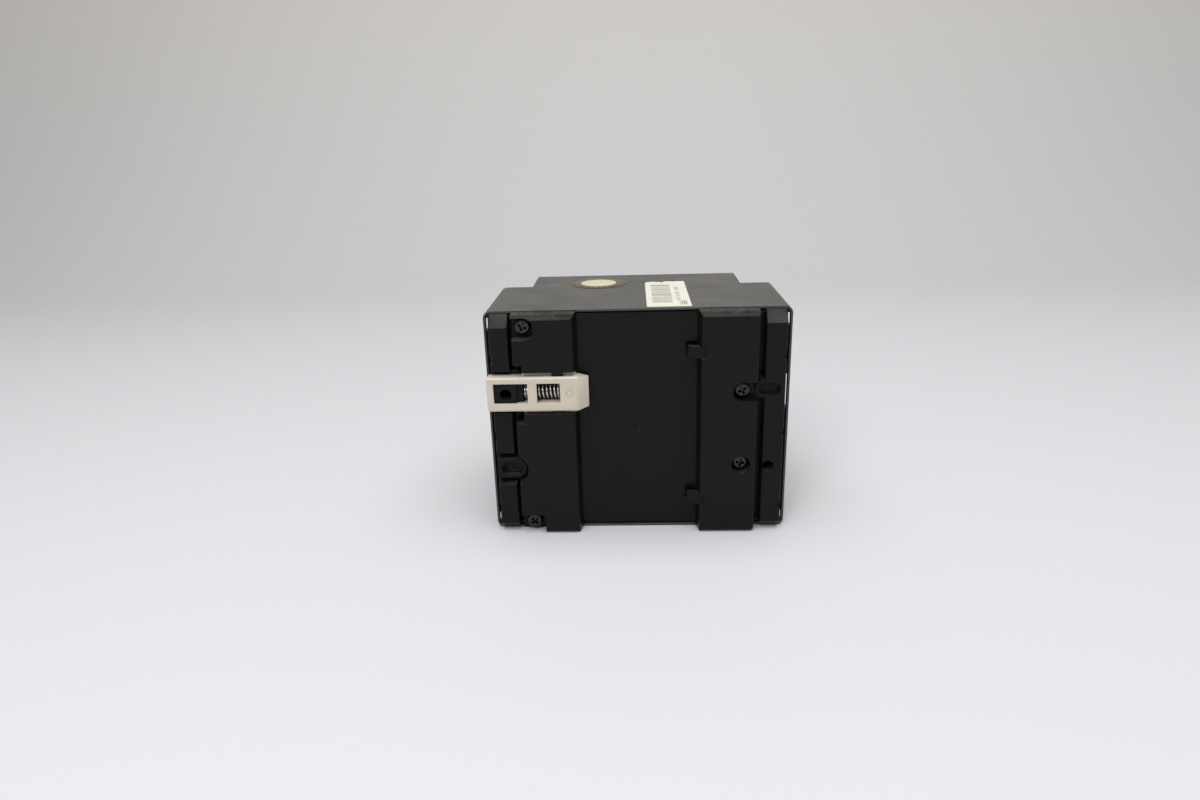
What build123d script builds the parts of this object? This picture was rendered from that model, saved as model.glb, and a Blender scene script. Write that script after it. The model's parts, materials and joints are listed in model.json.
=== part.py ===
"""Rail-mounted control relay module, lying on one side with its back towards -Y.

X runs along the 90 mm height that the module has on its rail, Y from the back to the front, and Z across its
width. The origin is the centre of the face it rests on. Depths are measured from the rear rim of the case
towards the front; the pads, the rail slider and the hooks have negative depths. All sizes are in millimetres.
"""

import os
from math import pi

from build123d import *

# Overall sizes
LENGTH = 90.0
WIDTH = 70.0
TIER_DEPTH = 36.0  # depth of the full-length tier that holds the terminals
SEAM_DEPTH = 42.0  # where the front cover meets the case
FRONT_DEPTH = 55.5  # front face
SLIDER_RISE = 5.5  # how far the rail slider stands behind the rim
PAD_RISE = 4.7
STRIP_RISE = 3.0
NOSE_HALF = 34.3  # half length of the raised front
WALL = 1.8
RIM_WALL = 0.6
CORNER = 2.2
DEPTH = SLIDER_RISE + FRONT_DEPTH
RIM_Y = SLIDER_RISE - DEPTH / 2
MID_Z = WIDTH / 2

# Rear base
FLOOR = 0.4  # depth of the rail channel's floor
GROOVE_FLOOR = 2.0  # floor of the grooves between the pads and the edge strips
BASE_INSIDE = 2.9
BASE_HALF_X = 43.3
BASE_Z = (1.15, WIDTH - 1.15)
CHANNEL_X = (-17.6, 17.6)
CHANNEL_DRAFT = 1.0  # how far the channel's walls lean outwards
LEFT_PAD_X = (-36.5, CHANNEL_X[0])
RIGHT_PAD_X = (CHANNEL_X[1], 35.2)
PAD_Z = (0.2, WIDTH - 0.2)
HOLLOW_FLOOR = WALL - PAD_RISE  # the pads are hollow, with this depth inside
LEFT_STRIP_X = (-BASE_HALF_X, -37.6)
RIGHT_STRIP_X = (37.2, BASE_HALF_X)
STRIP_Z = (1.2, WIDTH - 0.7)
HOOK_Z = (11.0, 57.5)
HOOK_HEIGHT = 3.4
HOOK_REACH = 14.8
HOOK_DEPTH = -3.7
RAIL_LIP = -1.1  # underside of the hooks and of the slider's nose

# Mounting holes, and the blind slotted sockets at the other two corners
HOLE_X = 39.0
HOLE_Z = (21.3, 45.8)
HOLE_RADIUS = 1.75
SLOT_X = 38.7
SLOT_LENGTH = 6.6
SLOT_HEIGHT = 4.2
SLOT_FLOOR = -0.9
SLOT_STEP = 0.5  # a smaller slot goes this much deeper
SLOT_STEP_WIDTH = 0.7
SLOT_RIM = 0.8

# Case screws: X, Z of each
CASE_SCREWS = ((-33.3, 65.8), (-32.8, 3.3), (30.7, 45.5), (30.7, 22.4))
SCREW_SEAT = -0.7
SCREW_HEAD_RADIUS = 2.5
SCREW_HEAD_HEIGHT = 1.9
SCREW_RADIUS = 1.35
SCREW_END = 13.0
BOSS_RADIUS = 3.0

# Rail slider and its spring
SLIDER_X = (-44.4, -14.5)
SLIDER_Z = (40.7, 51.2)
SLIDER_MID_Z = sum(SLIDER_Z) / 2
SLIDER_TRAVEL = 3.0
WINDOW_Z = (43.2, 49.3)
FIRST_WINDOW_X = (-42.5, -32.4)
SECOND_WINDOW_X = (-29.7, -22.8)
POST_X = (-42.2, FIRST_WINDOW_X[1] - SLIDER_TRAVEL - 0.3)
LEDGE_END = -33.8
POST_Z = (43.4, 49.1)
GUIDE_FLOOR = -1.0
FLANGE = 1.0
SPRING_RADIUS = 2.3
SPRING_WIRE = 0.55
SPRING_TURNS = 10
SPRING_DEPTH = -1.6

# Terminals
TERMINAL_COUNT = 7
TERMINAL_PITCH = 9.0
TERMINAL_Z = [MID_Z + (i - (TERMINAL_COUNT - 1) / 2) * TERMINAL_PITCH for i in range(TERMINAL_COUNT)]
DECK = (20.0, 22.0)
BLOCK_X = (34.6, 44.4)
BLOCK_TOP = 26.0
BARRIER_TOP = 31.0
BARRIER = 1.2
TERMINAL_X = 40.4
LEG_X = (35.2, 36.0)
HINGE_X = 35.9
HINGE_DEPTH = 34.55
HINGE_RADIUS = 1.45
PIN_RADIUS = 0.8
COVER_WALL = 1.3
COVER_EDGE = 31.2

# Boards
BOARD_HALF_X = 36.6
BOARD_Z = (2.4, 67.6)
RELAY_BOARD = (9.0, 10.6)
LOGIC_BOARD = (45.0, 46.4)
BOARD_POSTS = ((-8.0, 6.0), (-8.0, 64.0), (27.0, 6.0), (27.0, 64.0))
LOGIC_POSTS = ((-27.0, 6.0), (-27.0, 64.0), (27.0, 6.0), (27.0, 64.0))
LINK_X = -6.0
LINK_Z = [24.0 + 2.54 * i for i in range(10)]
LINK_PIN = 0.64

# Relays: each lies along X with its width along Z
RELAY_Z = (12.5, 27.5, 42.5, 57.5)
RELAY_X = -31.0
RELAY_LENGTH = 20.0
RELAY_HALF = 5.0
HEADER_TOP = 12.2
COIL_DEPTH = 16.4
COIL_X = (3.4, 12.6)
CORE_RADIUS = 1.6
YOKE_HALF = 3.5
ARMATURE_X = (14.75, 15.55)
PIVOT_X = 15.15
PIVOT_DEPTH = 21.1


def level(depth):
    """Rear-facing plane at a depth; its sketches use X and Z, and a negative extrusion goes to the front."""
    return Plane.XZ.offset(-(RIM_Y + depth))


def slab(x, depth, z, mode=Mode.ADD):
    """A box between two X values, two depths and two Z values."""
    with Locations(((x[0] + x[1]) / 2, RIM_Y + (depth[0] + depth[1]) / 2, (z[0] + z[1]) / 2)):
        Box(abs(x[1] - x[0]), abs(depth[1] - depth[0]), abs(z[1] - z[0]), mode=mode)


def rod(x, z, radius, depth, mode=Mode.ADD):
    """A cylinder along Y between two depths."""
    with Locations(Location((x, RIM_Y + (depth[0] + depth[1]) / 2, z), (90, 0, 0))):
        Cylinder(radius, abs(depth[1] - depth[0]), mode=mode)


def axle(x, depth, radius, z, mode=Mode.ADD):
    """A cylinder along Z between two Z values."""
    with Locations((x, RIM_Y + depth, (z[0] + z[1]) / 2)):
        Cylinder(radius, abs(z[1] - z[0]), mode=mode)


def barrel(x, depth, z, radius, mode=Mode.ADD):
    """A cylinder along X between two X values."""
    with Locations(Location(((x[0] + x[1]) / 2, RIM_Y + depth, z), (0, 90, 0))):
        Cylinder(radius, abs(x[1] - x[0]), mode=mode)


def around(centre, half):
    return centre - half, centre + half


def on_side(side, span):
    return side * span[0], side * span[1]


def save(builder, name):
    builder.part.label = name
    export_step(builder.part, f"parts/{name}.step")


os.makedirs("parts", exist_ok=True)


# Case: a full-length tier, a raised nose, two terminal bays and the bosses that take the case screws

LATCH_WINDOWS = ((1.0, 3.8), (38.2, 48.8), (63.6, 67.4))
BAY_Z = (WALL, WIDTH - WALL)

with BuildPart() as main_case:
    with BuildSketch(level(0)):
        with Locations((0, MID_Z)):
            RectangleRounded(LENGTH, WIDTH, CORNER)
    extrude(amount=-TIER_DEPTH)
    slab((-NOSE_HALF, NOSE_HALF), (TIER_DEPTH - 1, SEAM_DEPTH), (0, WIDTH))
    # rear chamber, with a thinner rim where the base sits
    slab((WALL - LENGTH / 2, LENGTH / 2 - WALL), (0, DECK[0]), BAY_Z, Mode.SUBTRACT)
    with BuildSketch(level(0)):
        with Locations((0, MID_Z)):
            RectangleRounded(LENGTH - 2 * RIM_WALL, WIDTH - 2 * RIM_WALL, CORNER - RIM_WALL)
    extrude(amount=-(BASE_INSIDE + 0.1), mode=Mode.SUBTRACT)
    # chamber of the nose
    slab((WALL - NOSE_HALF, NOSE_HALF - WALL), (DECK[0] - 1, SEAM_DEPTH + 1), BAY_Z, Mode.SUBTRACT)
    for side in (-1, 1):
        bay_x = on_side(side, (NOSE_HALF, LENGTH / 2 + 1))
        slab(bay_x, (DECK[1], TIER_DEPTH + 1), BAY_Z, Mode.SUBTRACT)
        for leg_z in TERMINAL_Z:
            slab(on_side(side, (LEG_X[0] - 0.2, LEG_X[1] + 0.2)), (DECK[0] - 1, DECK[1] + 1),
                 around(leg_z, 0.9), Mode.SUBTRACT)
        for window_z in LATCH_WINDOWS:
            slab(on_side(side, (LENGTH / 2 - 3, LENGTH / 2 + 1)), (2.0, 7.5), window_z, Mode.SUBTRACT)
        for socket_z in ((WALL - 1.2, WALL), (WIDTH - WALL, WIDTH - WALL + 1.2)):
            axle(side * HINGE_X, HINGE_DEPTH, PIN_RADIUS + 0.08, socket_z, Mode.SUBTRACT)
    for screw_x, screw_z in CASE_SCREWS:
        rod(screw_x, screw_z, BOSS_RADIUS, (BASE_INSIDE + 0.1, DECK[1]))
        rod(screw_x, screw_z, SCREW_RADIUS + 0.05, (BASE_INSIDE + 0.1, SCREW_END + 1), Mode.SUBTRACT)
    # the bosses near the sides stay inside the case
    slab((-NOSE_HALF, NOSE_HALF), (0, SEAM_DEPTH), (-5, 0), Mode.SUBTRACT)
    slab((-NOSE_HALF, NOSE_HALF), (0, SEAM_DEPTH), (WIDTH, WIDTH + 5), Mode.SUBTRACT)
save(main_case, "main_case")


# Rear base: plate, two pads either side of the rail channel, two edge strips, hooks and the slider's guide

GUIDE_Z = (SLIDER_Z[0] - FLANGE - 0.15, SLIDER_Z[1] + FLANGE + 0.15)
EAR_RADIUS = 3.15
BITE_RADIUS = 5.15
POCKET_RADIUS = 2.85
WIDE_POCKET = (-33.0, 65.4)  # centre of the wider pocket round the upper left screw
WIDE_POCKET_RADIUS = 3.2
CORNER_POCKET_END_X = -29.1  # inner wall of the pocket at the lower left corner
TAB_X = (-25.2, -21.9)
PAD_CORNER = 1.5
MARK_RADIUS = 1.3
MARK_DEPTH = 0.12


def pad_profile():
    """Outline of a pad seen along X: it leans in towards its face at both sides of the module."""
    Polygon(
        (RIM_Y - 0.15, PAD_Z[0]),
        (RIM_Y - 0.15, PAD_Z[1]),
        (RIM_Y - 3.1, PAD_Z[1] - 0.5),
        (RIM_Y - PAD_RISE + 0.5, PAD_Z[1] - 1.0),
        (RIM_Y - PAD_RISE, PAD_Z[1] - 1.7),
        (RIM_Y - PAD_RISE, PAD_Z[0] + 0.8),
        (RIM_Y - PAD_RISE + 0.8, PAD_Z[0]),
        align=None,
    )


def strip_profile():
    """Outline of an edge strip seen along X: its upper end slopes at 45 degrees, its lower end is steeper."""
    Polygon(
        (RIM_Y + FLOOR, STRIP_Z[0]),
        (RIM_Y + FLOOR, STRIP_Z[1]),
        (RIM_Y, STRIP_Z[1]),
        (RIM_Y - STRIP_RISE, STRIP_Z[1] - 3.7),
        (RIM_Y - STRIP_RISE, STRIP_Z[0] + 1.6),
        (RIM_Y - STRIP_RISE + 1.4, STRIP_Z[0]),
        align=None,
    )


def extrude_along_x(x):
    """Extrudes the pending YZ sketch, which lies at x[0], up to x[1]."""
    extrude(amount=x[1] - x[0])


with BuildPart() as rear_base:
    slab((-BASE_HALF_X, BASE_HALF_X), (FLOOR, BASE_INSIDE), BASE_Z)
    for pad_x in (LEFT_PAD_X, RIGHT_PAD_X):
        with BuildSketch(Plane.YZ.offset(pad_x[0])):
            pad_profile()
        extrude_along_x(pad_x)
        slab(pad_x, (-0.2, FLOOR + 0.1), BASE_Z)
    for strip_x in (LEFT_STRIP_X, RIGHT_STRIP_X):
        with BuildSketch(Plane.YZ.offset(strip_x[0])) as strip_section:
            strip_profile()
            fillet(strip_section.vertices().group_by(Axis.X)[0], 0.45)
        extrude_along_x(strip_x)
    for groove_x in ((LEFT_STRIP_X[1], LEFT_PAD_X[0]), (RIGHT_PAD_X[1], RIGHT_STRIP_X[0])):
        slab(groove_x, (FLOOR - 1, GROOVE_FLOOR), (BASE_Z[0] + 0.8, BASE_Z[1] - 0.8), Mode.SUBTRACT)
    # the channel's walls lean outwards
    for side in (-1, 1):
        with BuildSketch(Plane.XY):
            Polygon(
                (side * CHANNEL_X[1], RIM_Y - 0.4),
                (side * (CHANNEL_X[1] + CHANNEL_DRAFT), RIM_Y - PAD_RISE),
                (side * (CHANNEL_X[1] + CHANNEL_DRAFT), RIM_Y - PAD_RISE - 1),
                (side * (CHANNEL_X[1] - 1), RIM_Y - PAD_RISE - 1),
                (side * (CHANNEL_X[1] - 1), RIM_Y - 0.4),
                align=None,
            )
        extrude(amount=WIDTH, mode=Mode.SUBTRACT)
    # rounded lower corners of the pads
    with BuildSketch(level(-0.5)):
        for pad_x in (LEFT_PAD_X, RIGHT_PAD_X):
            with Locations((sum(pad_x) / 2, PAD_Z[0])):
                Rectangle(pad_x[1] - pad_x[0] + 1, 2 * PAD_CORNER)
            with Locations((sum(pad_x) / 2, PAD_Z[0] + 5)):
                RectangleRounded(pad_x[1] - pad_x[0], 10, PAD_CORNER, mode=Mode.SUBTRACT)
    extrude(amount=PAD_RISE + 1, mode=Mode.SUBTRACT)
    # rounded long edges
    face_edges_x = (CHANNEL_X[0] - CHANNEL_DRAFT, CHANNEL_X[1] + CHANNEL_DRAFT)
    for radius, rise, edges_x in (
        (1.2, PAD_RISE, face_edges_x),
        (0.7, PAD_RISE, (LEFT_PAD_X[0], RIGHT_PAD_X[1])),
        (0.4, STRIP_RISE, (*LEFT_STRIP_X, *RIGHT_STRIP_X)),
    ):
        for edge_x in edges_x:
            upright = rear_base.edges().filter_by(Axis.Z)
            on_face = upright.filter_by_position(Axis.Y, RIM_Y - rise - 0.01, RIM_Y - rise + 0.01)
            fillet(on_face.filter_by_position(Axis.X, edge_x - 0.01, edge_x + 0.01), radius)
    # hollows moulded into the pads from inside
    for hollow_x, hollow_z in (
        ((-34.6, -19.4), (10.0, 16.0)),
        ((-32.0, -19.4), (16.0, 37.8)),
        ((-28.8, -19.4), (55.8, 67.4)),
        ((19.4, 26.9), (2.6, 67.4)),
        ((27.4, 33.4), (2.6, 18.4)),
        ((27.4, 33.4), (27.4, 41.0)),
        ((27.4, 33.4), (52.0, 67.4)),
    ):
        slab(hollow_x, (HOLLOW_FLOOR, BASE_INSIDE + 1), hollow_z, Mode.SUBTRACT)

    # rail hooks, with a blind pocket behind each
    for hook_z in HOOK_Z:
        pocket_z = (hook_z - HOOK_HEIGHT / 2 - 0.3, hook_z + HOOK_HEIGHT / 2 + 0.6)
        slab((HOOK_REACH - 0.5, CHANNEL_X[1]), (FLOOR - 1, GROOVE_FLOOR), pocket_z, Mode.SUBTRACT)
        slab((CHANNEL_X[1] - 0.1, CHANNEL_X[1] + 2.2), (-PAD_RISE - 1, HOOK_DEPTH),
             around(hook_z, HOOK_HEIGHT / 2), Mode.SUBTRACT)
        with BuildSketch(Plane.XY.offset(hook_z - HOOK_HEIGHT / 2)):
            Polygon(
                (CHANNEL_X[1] + 1.7, RIM_Y + HOOK_DEPTH),
                (HOOK_REACH + 1.1, RIM_Y + HOOK_DEPTH),
                (HOOK_REACH, RIM_Y + HOOK_DEPTH + 1.0),
                (HOOK_REACH, RIM_Y + RAIL_LIP),
                (CHANNEL_X[1] + 1.7, RIM_Y + RAIL_LIP),
                align=None,
            )
        extrude(amount=HOOK_HEIGHT)

    # slider's guide: a trough across the left strip and pad, retained by two tabs
    slab((-BASE_HALF_X - 1, CHANNEL_X[0] + 0.1), (-PAD_RISE - 1, GUIDE_FLOOR), GUIDE_Z, Mode.SUBTRACT)
    slab((-BASE_HALF_X, CHANNEL_X[0]), (GUIDE_FLOOR, FLOOR + 0.1), (GUIDE_Z[0] - 0.2, GUIDE_Z[1] + 0.2))
    slab((LEDGE_END, SLIDER_X[1] - 2.9), (GUIDE_FLOOR - 1, 1.0), around(SLIDER_MID_Z, 2.6), Mode.SUBTRACT)
    for tab_z in ((GUIDE_Z[0] - 0.1, SLIDER_Z[0] - 0.15), (SLIDER_Z[1] + 0.15, GUIDE_Z[1] + 0.1)):
        slab(TAB_X, (-PAD_RISE + 0.1, -3.35), tab_z)
    for notch_z in ((GUIDE_Z[0] - 3.0, GUIDE_Z[0] + 0.1), (GUIDE_Z[1] - 0.1, GUIDE_Z[1] + 2.2)):
        slab((LEFT_STRIP_X[1], LEFT_PAD_X[0] + 2.6), (-PAD_RISE - 1, GROOVE_FLOOR), notch_z, Mode.SUBTRACT)
    slab(POST_X, (-SLIDER_RISE + 0.5, GUIDE_FLOOR + 0.1), POST_Z)
    slab((POST_X[1] - 0.1, LEDGE_END), (-3.9, 1.1), POST_Z)

    # pockets and clearance holes of the case screws; three of the pockets are open at one side
    pocket_depth = (-PAD_RISE - 1, SCREW_SEAT)
    bottom_left, right_upper, right_lower = CASE_SCREWS[1:]
    for screw_x, screw_z in CASE_SCREWS:
        rod(screw_x, screw_z, SCREW_RADIUS + 0.2, (SCREW_SEAT - 1, BASE_INSIDE + 1), Mode.SUBTRACT)
    for pocket_x, pocket_z in (right_upper, right_lower):
        rod(pocket_x, pocket_z, POCKET_RADIUS, pocket_depth, Mode.SUBTRACT)
    slab((right_upper[0], RIGHT_PAD_X[1]), pocket_depth, around(right_upper[1], POCKET_RADIUS), Mode.SUBTRACT)
    rod(*WIDE_POCKET, WIDE_POCKET_RADIUS, pocket_depth, Mode.SUBTRACT)
    slab((LEFT_PAD_X[0], WIDE_POCKET[0]), pocket_depth, around(WIDE_POCKET[1], WIDE_POCKET_RADIUS),
         Mode.SUBTRACT)
    slab((LEFT_PAD_X[0], CORNER_POCKET_END_X), pocket_depth, (PAD_Z[0] - 1, bottom_left[1] + POCKET_RADIUS),
         Mode.SUBTRACT)

    # mounting ear on the left strip, standing free in a gap that bites into the pad
    with BuildSketch(level(FLOOR)):
        with Locations((-SLOT_X, HOLE_Z[0])):
            Circle(BITE_RADIUS)
        with Locations((-(SLOT_X + BASE_HALF_X + 1) / 2, HOLE_Z[0])):
            Rectangle(BASE_HALF_X + 1 - SLOT_X, 2 * BITE_RADIUS)
    extrude(amount=PAD_RISE + 2, mode=Mode.SUBTRACT)
    ear_end_x = SLOT_X - SLOT_LENGTH / 2 + SLOT_HEIGHT / 2
    with BuildSketch(level(GROOVE_FLOOR + 0.1)):
        with Locations((-ear_end_x, HOLE_Z[0])):
            Circle(EAR_RADIUS)
        with Locations((-(ear_end_x + BASE_HALF_X) / 2, HOLE_Z[0])):
            Rectangle(BASE_HALF_X - ear_end_x, 2 * EAR_RADIUS)
    extrude(amount=STRIP_RISE + GROOVE_FLOOR - 0.3)

    # two round mounting holes, and two blind slotted sockets at the rectangle's other corners
    rod(-HOLE_X, HOLE_Z[1], HOLE_RADIUS, (-SLIDER_RISE, BASE_INSIDE + 1), Mode.SUBTRACT)
    rod(HOLE_X, HOLE_Z[0], HOLE_RADIUS, (-SLIDER_RISE, BASE_INSIDE + 1), Mode.SUBTRACT)
    with BuildSketch(level(GROOVE_FLOOR + 0.1)):
        with Locations((SLOT_X, HOLE_Z[1])):
            SlotOverall(SLOT_LENGTH + 2 * SLOT_RIM, SLOT_HEIGHT + 2 * SLOT_RIM)
    extrude(amount=STRIP_RISE + GROOVE_FLOOR - 0.3)
    for narrowing, bottom in ((0, SLOT_FLOOR), (SLOT_STEP_WIDTH, SLOT_FLOOR + SLOT_STEP)):
        with BuildSketch(level(bottom)):
            with Locations((-SLOT_X, HOLE_Z[0]), (SLOT_X, HOLE_Z[1])):
                SlotOverall(SLOT_LENGTH - 2 * narrowing, SLOT_HEIGHT - 2 * narrowing)
        extrude(amount=PAD_RISE + bottom + 1, mode=Mode.SUBTRACT)

    # snap slots along the outer edges
    for side in (-1, 1):
        for dent_z in (8.1, 32.1, 56.1):
            slab(on_side(side, (BASE_HALF_X - 1.0, BASE_HALF_X + 1)), (-STRIP_RISE - 1, BASE_INSIDE + 1),
                 around(dent_z, 1.3), Mode.SUBTRACT)

    # cavity mark in the channel's floor: a ring over two short bars
    with BuildSketch(level(FLOOR + MARK_DEPTH)):
        with Locations((0, 33.4)):
            Circle(MARK_RADIUS)
            Circle(MARK_RADIUS - 0.35, mode=Mode.SUBTRACT)
        with Locations((0, 30.9), (0, 30.0)):
            Rectangle(2 * MARK_RADIUS, 0.4)
    extrude(amount=1, mode=Mode.SUBTRACT)

    # posts that carry the relay board
    for post_x, post_z in BOARD_POSTS:
        foot = HOLLOW_FLOOR if post_x > CHANNEL_X[1] else BASE_INSIDE
        rod(post_x, post_z, 2.4, (foot - 0.1, RELAY_BOARD[0]))
        rod(post_x, post_z, 1.0, (BASE_INSIDE, RELAY_BOARD[0] + 1), Mode.SUBTRACT)
save(rear_base, "rear_base")


# Rail slider: nose, two windows, a channel for the spring and side flanges under the base's tabs

with BuildPart() as din_slider:
    with BuildSketch(level(RAIL_LIP - 0.1)):
        Polygon(
            (SLIDER_X[0], SLIDER_Z[0] + 0.3),
            (SLIDER_X[0] + 0.3, SLIDER_Z[0]),
            (SLIDER_X[1] - 3.3, SLIDER_Z[0]),
            (SLIDER_X[1], SLIDER_Z[0] + 0.8),
            (SLIDER_X[1], SLIDER_Z[1] - 0.8),
            (SLIDER_X[1] - 3.3, SLIDER_Z[1]),
            (SLIDER_X[0] + 0.3, SLIDER_Z[1]),
            (SLIDER_X[0], SLIDER_Z[1] - 0.3),
            align=None,
        )
    extrude(amount=SLIDER_RISE + RAIL_LIP - 0.1)
    rear_edges = din_slider.faces().sort_by(Axis.Y)[0].edges()
    chamfer(rear_edges.filter_by(Axis.X), 0.45)
    nose_edge = din_slider.edges().filter_by(Axis.Z).sort_by(Axis.X)[-2:].sort_by(Axis.Y)[0]
    chamfer(nose_edge, 2.4, 3.3, reference=din_slider.faces().sort_by(Axis.X)[-1])
    for flange_z in ((SLIDER_Z[0] - FLANGE, SLIDER_Z[0] + 0.5), (SLIDER_Z[1] - 0.5, SLIDER_Z[1] + FLANGE)):
        slab((-34.1, SLIDER_X[1] - 3.8), (-3.1, RAIL_LIP - 0.1), flange_z)
    for window_x in (FIRST_WINDOW_X, SECOND_WINDOW_X):
        slab(window_x, (-SLIDER_RISE - 1, 0), WINDOW_Z, Mode.SUBTRACT)
    slab((FIRST_WINDOW_X[1] - 0.1, SECOND_WINDOW_X[0] + 0.1), (-4.15, 0), WINDOW_Z, Mode.SUBTRACT)
    with BuildSketch(level(-SLIDER_RISE)):
        with Locations((-20.0, SLIDER_MID_Z)):
            Circle(1.1)
            Circle(0.85, mode=Mode.SUBTRACT)
    extrude(amount=-0.15, mode=Mode.SUBTRACT)
save(din_slider, "din_slider")


# Spring between the post's ledge and the end of the slider's second window

SPRING_LENGTH = SECOND_WINDOW_X[1] - LEDGE_END - SPRING_WIRE - 0.06
spring_start = (LEDGE_END + SPRING_WIRE / 2 + 0.03, RIM_Y + SPRING_DEPTH, SLIDER_MID_Z)
coil_radius = SPRING_RADIUS - SPRING_WIRE / 2

with BuildPart() as slider_spring:
    with BuildLine() as spring_path:
        Helix(SPRING_LENGTH / SPRING_TURNS, SPRING_LENGTH, coil_radius, center=spring_start,
              direction=(1, 0, 0))
    with BuildSketch(Plane(spring_path.line @ 0, z_dir=spring_path.line % 0)):
        Circle(SPRING_WIRE / 2)
    sweep(path=spring_path.line, is_frenet=True)
save(slider_spring, "slider_spring")


# Screws with a crossed recess

def cross_screw(x, z, head, seat, end, radius, head_radius, cross):
    """Pan-head screw along Y, with its head between depths head and seat, and its point at depth end."""
    step = 1 if seat > head else -1
    rod(x, z, head_radius, (head, seat))
    rod(x, z, radius, (seat - step * 0.05, end))
    for long_side, short_side in ((cross, cross * 0.26), (cross * 0.26, cross)):
        slab(around(x, long_side / 2), (head - step, head + step * 1.1), around(z, short_side / 2),
             Mode.SUBTRACT)


with BuildPart() as case_screws:
    for screw_x, screw_z in CASE_SCREWS:
        cross_screw(screw_x, screw_z, SCREW_SEAT - SCREW_HEAD_HEIGHT, SCREW_SEAT, SCREW_END, SCREW_RADIUS,
                    SCREW_HEAD_RADIUS, 3.2)
save(case_screws, "case_screws")


# Front cover with its indicator window, nameplate recess and the posts that carry the logic board

PANEL_INSIDE = FRONT_DEPTH - WALL
LENS_X = (-27.0, -21.0)
LENS_Z = (10.0, 60.0)
PLATE_X = (-15.0, 27.0)
PLATE_Z = (7.0, 63.0)

with BuildPart() as front_cover:
    slab((-NOSE_HALF, NOSE_HALF), (SEAM_DEPTH, FRONT_DEPTH), (0, WIDTH))
    fillet(front_cover.faces().sort_by(Axis.Y)[-1].edges(), 0.9)
    chamfer(front_cover.faces().sort_by(Axis.Y)[0].edges(), 0.3)
    slab((WALL - NOSE_HALF, NOSE_HALF - WALL), (SEAM_DEPTH - 1, PANEL_INSIDE), BAY_Z, Mode.SUBTRACT)
    # lip that registers inside the case
    lip_half = NOSE_HALF - WALL - 0.15
    lip_z = (BAY_Z[0] + 0.15, BAY_Z[1] - 0.15)
    slab((-lip_half, lip_half), (SEAM_DEPTH - 1.6, SEAM_DEPTH + 0.2), lip_z)
    slab((-lip_half, lip_half), (SEAM_DEPTH, SEAM_DEPTH + 1.6), (lip_z[0] - 0.2, lip_z[1] + 0.2))
    slab((-NOSE_HALF + 1, NOSE_HALF - 1), (SEAM_DEPTH + 0.4, SEAM_DEPTH + 1.6), (1, WIDTH - 1))
    slab((1.2 - lip_half, lip_half - 1.2), (SEAM_DEPTH - 2, SEAM_DEPTH + 2), (lip_z[0] + 1.2, lip_z[1] - 1.2),
         Mode.SUBTRACT)
    for post_x, post_z in LOGIC_POSTS:
        rod(post_x, post_z, 2.3, (LOGIC_BOARD[1], PANEL_INSIDE + 0.1))
        rod(post_x, post_z, 0.9, (LOGIC_BOARD[1] - 1, PANEL_INSIDE - 1), Mode.SUBTRACT)
    slab(LENS_X, (PANEL_INSIDE - 1, FRONT_DEPTH + 1), LENS_Z, Mode.SUBTRACT)
    slab(PLATE_X, (FRONT_DEPTH - 0.35, FRONT_DEPTH + 1), PLATE_Z, Mode.SUBTRACT)
save(front_cover, "front_cover")

with BuildPart() as indicator_lens:
    slab((LENS_X[0] + 0.1, LENS_X[1] - 0.1), (PANEL_INSIDE - 0.1, FRONT_DEPTH - 0.1),
         (LENS_Z[0] + 0.1, LENS_Z[1] - 0.1))
    slab((LENS_X[0] - 1, LENS_X[1] + 1), (PANEL_INSIDE - 0.9, PANEL_INSIDE), (LENS_Z[0] - 1, LENS_Z[1] + 1))
save(indicator_lens, "indicator_lens")

with BuildPart() as front_label:
    slab((PLATE_X[0] + 0.1, PLATE_X[1] - 0.1), (FRONT_DEPTH - 0.35, FRONT_DEPTH - 0.05),
         (PLATE_Z[0] + 0.1, PLATE_Z[1] - 0.1))
save(front_label, "front_label")

LABEL_THICKNESS = 0.12
with BuildPart() as serial_label:
    slab((3.0, 16.1), (1.6, 40.5), (WIDTH, WIDTH + LABEL_THICKNESS))
save(serial_label, "serial_label")

with BuildPart() as seal_label:
    with Locations((-12.5, RIM_Y + 40.4, WIDTH + LABEL_THICKNESS / 2)):
        Cylinder(9.4, LABEL_THICKNESS)
save(seal_label, "seal_label")


# Terminal blocks and their hardware, one set at each end of the module

def terminal_block(side):
    """Barrier block: a base, a back wall and a barrier either side of each terminal."""
    block_z = (BAY_Z[0] + 0.3, BAY_Z[1] - 0.3)
    slab(on_side(side, BLOCK_X), (DECK[1], BLOCK_TOP), block_z)
    slab(on_side(side, (BLOCK_X[0], BLOCK_X[0] + 0.5)), (DECK[1], BARRIER_TOP), block_z)
    for i in range(TERMINAL_COUNT + 1):
        barrier_z = TERMINAL_Z[0] + (i - 0.5) * TERMINAL_PITCH
        slab(on_side(side, BLOCK_X), (DECK[1], BARRIER_TOP), around(barrier_z, BARRIER / 2))
    for z in TERMINAL_Z:
        slab(on_side(side, LEG_X), (DECK[1] - 1, BLOCK_TOP + 1), around(z, 0.6), Mode.SUBTRACT)
        rod(side * TERMINAL_X, z, 1.5, (DECK[1] + 0.8, BLOCK_TOP + 1), Mode.SUBTRACT)


def contact_bars(side):
    """Flat bar on the block's floor, with a leg down to the relay board."""
    for z in TERMINAL_Z:
        slab(on_side(side, (LEG_X[0], BLOCK_X[1] - 0.4)), (BLOCK_TOP, BLOCK_TOP + 0.8), around(z, 2.9))
        slab(on_side(side, LEG_X), (RELAY_BOARD[0] - 0.8, BLOCK_TOP + 0.1), around(z, 0.6))
        rod(side * TERMINAL_X, z, 1.55, (BLOCK_TOP - 1, BLOCK_TOP + 2), Mode.SUBTRACT)


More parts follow.
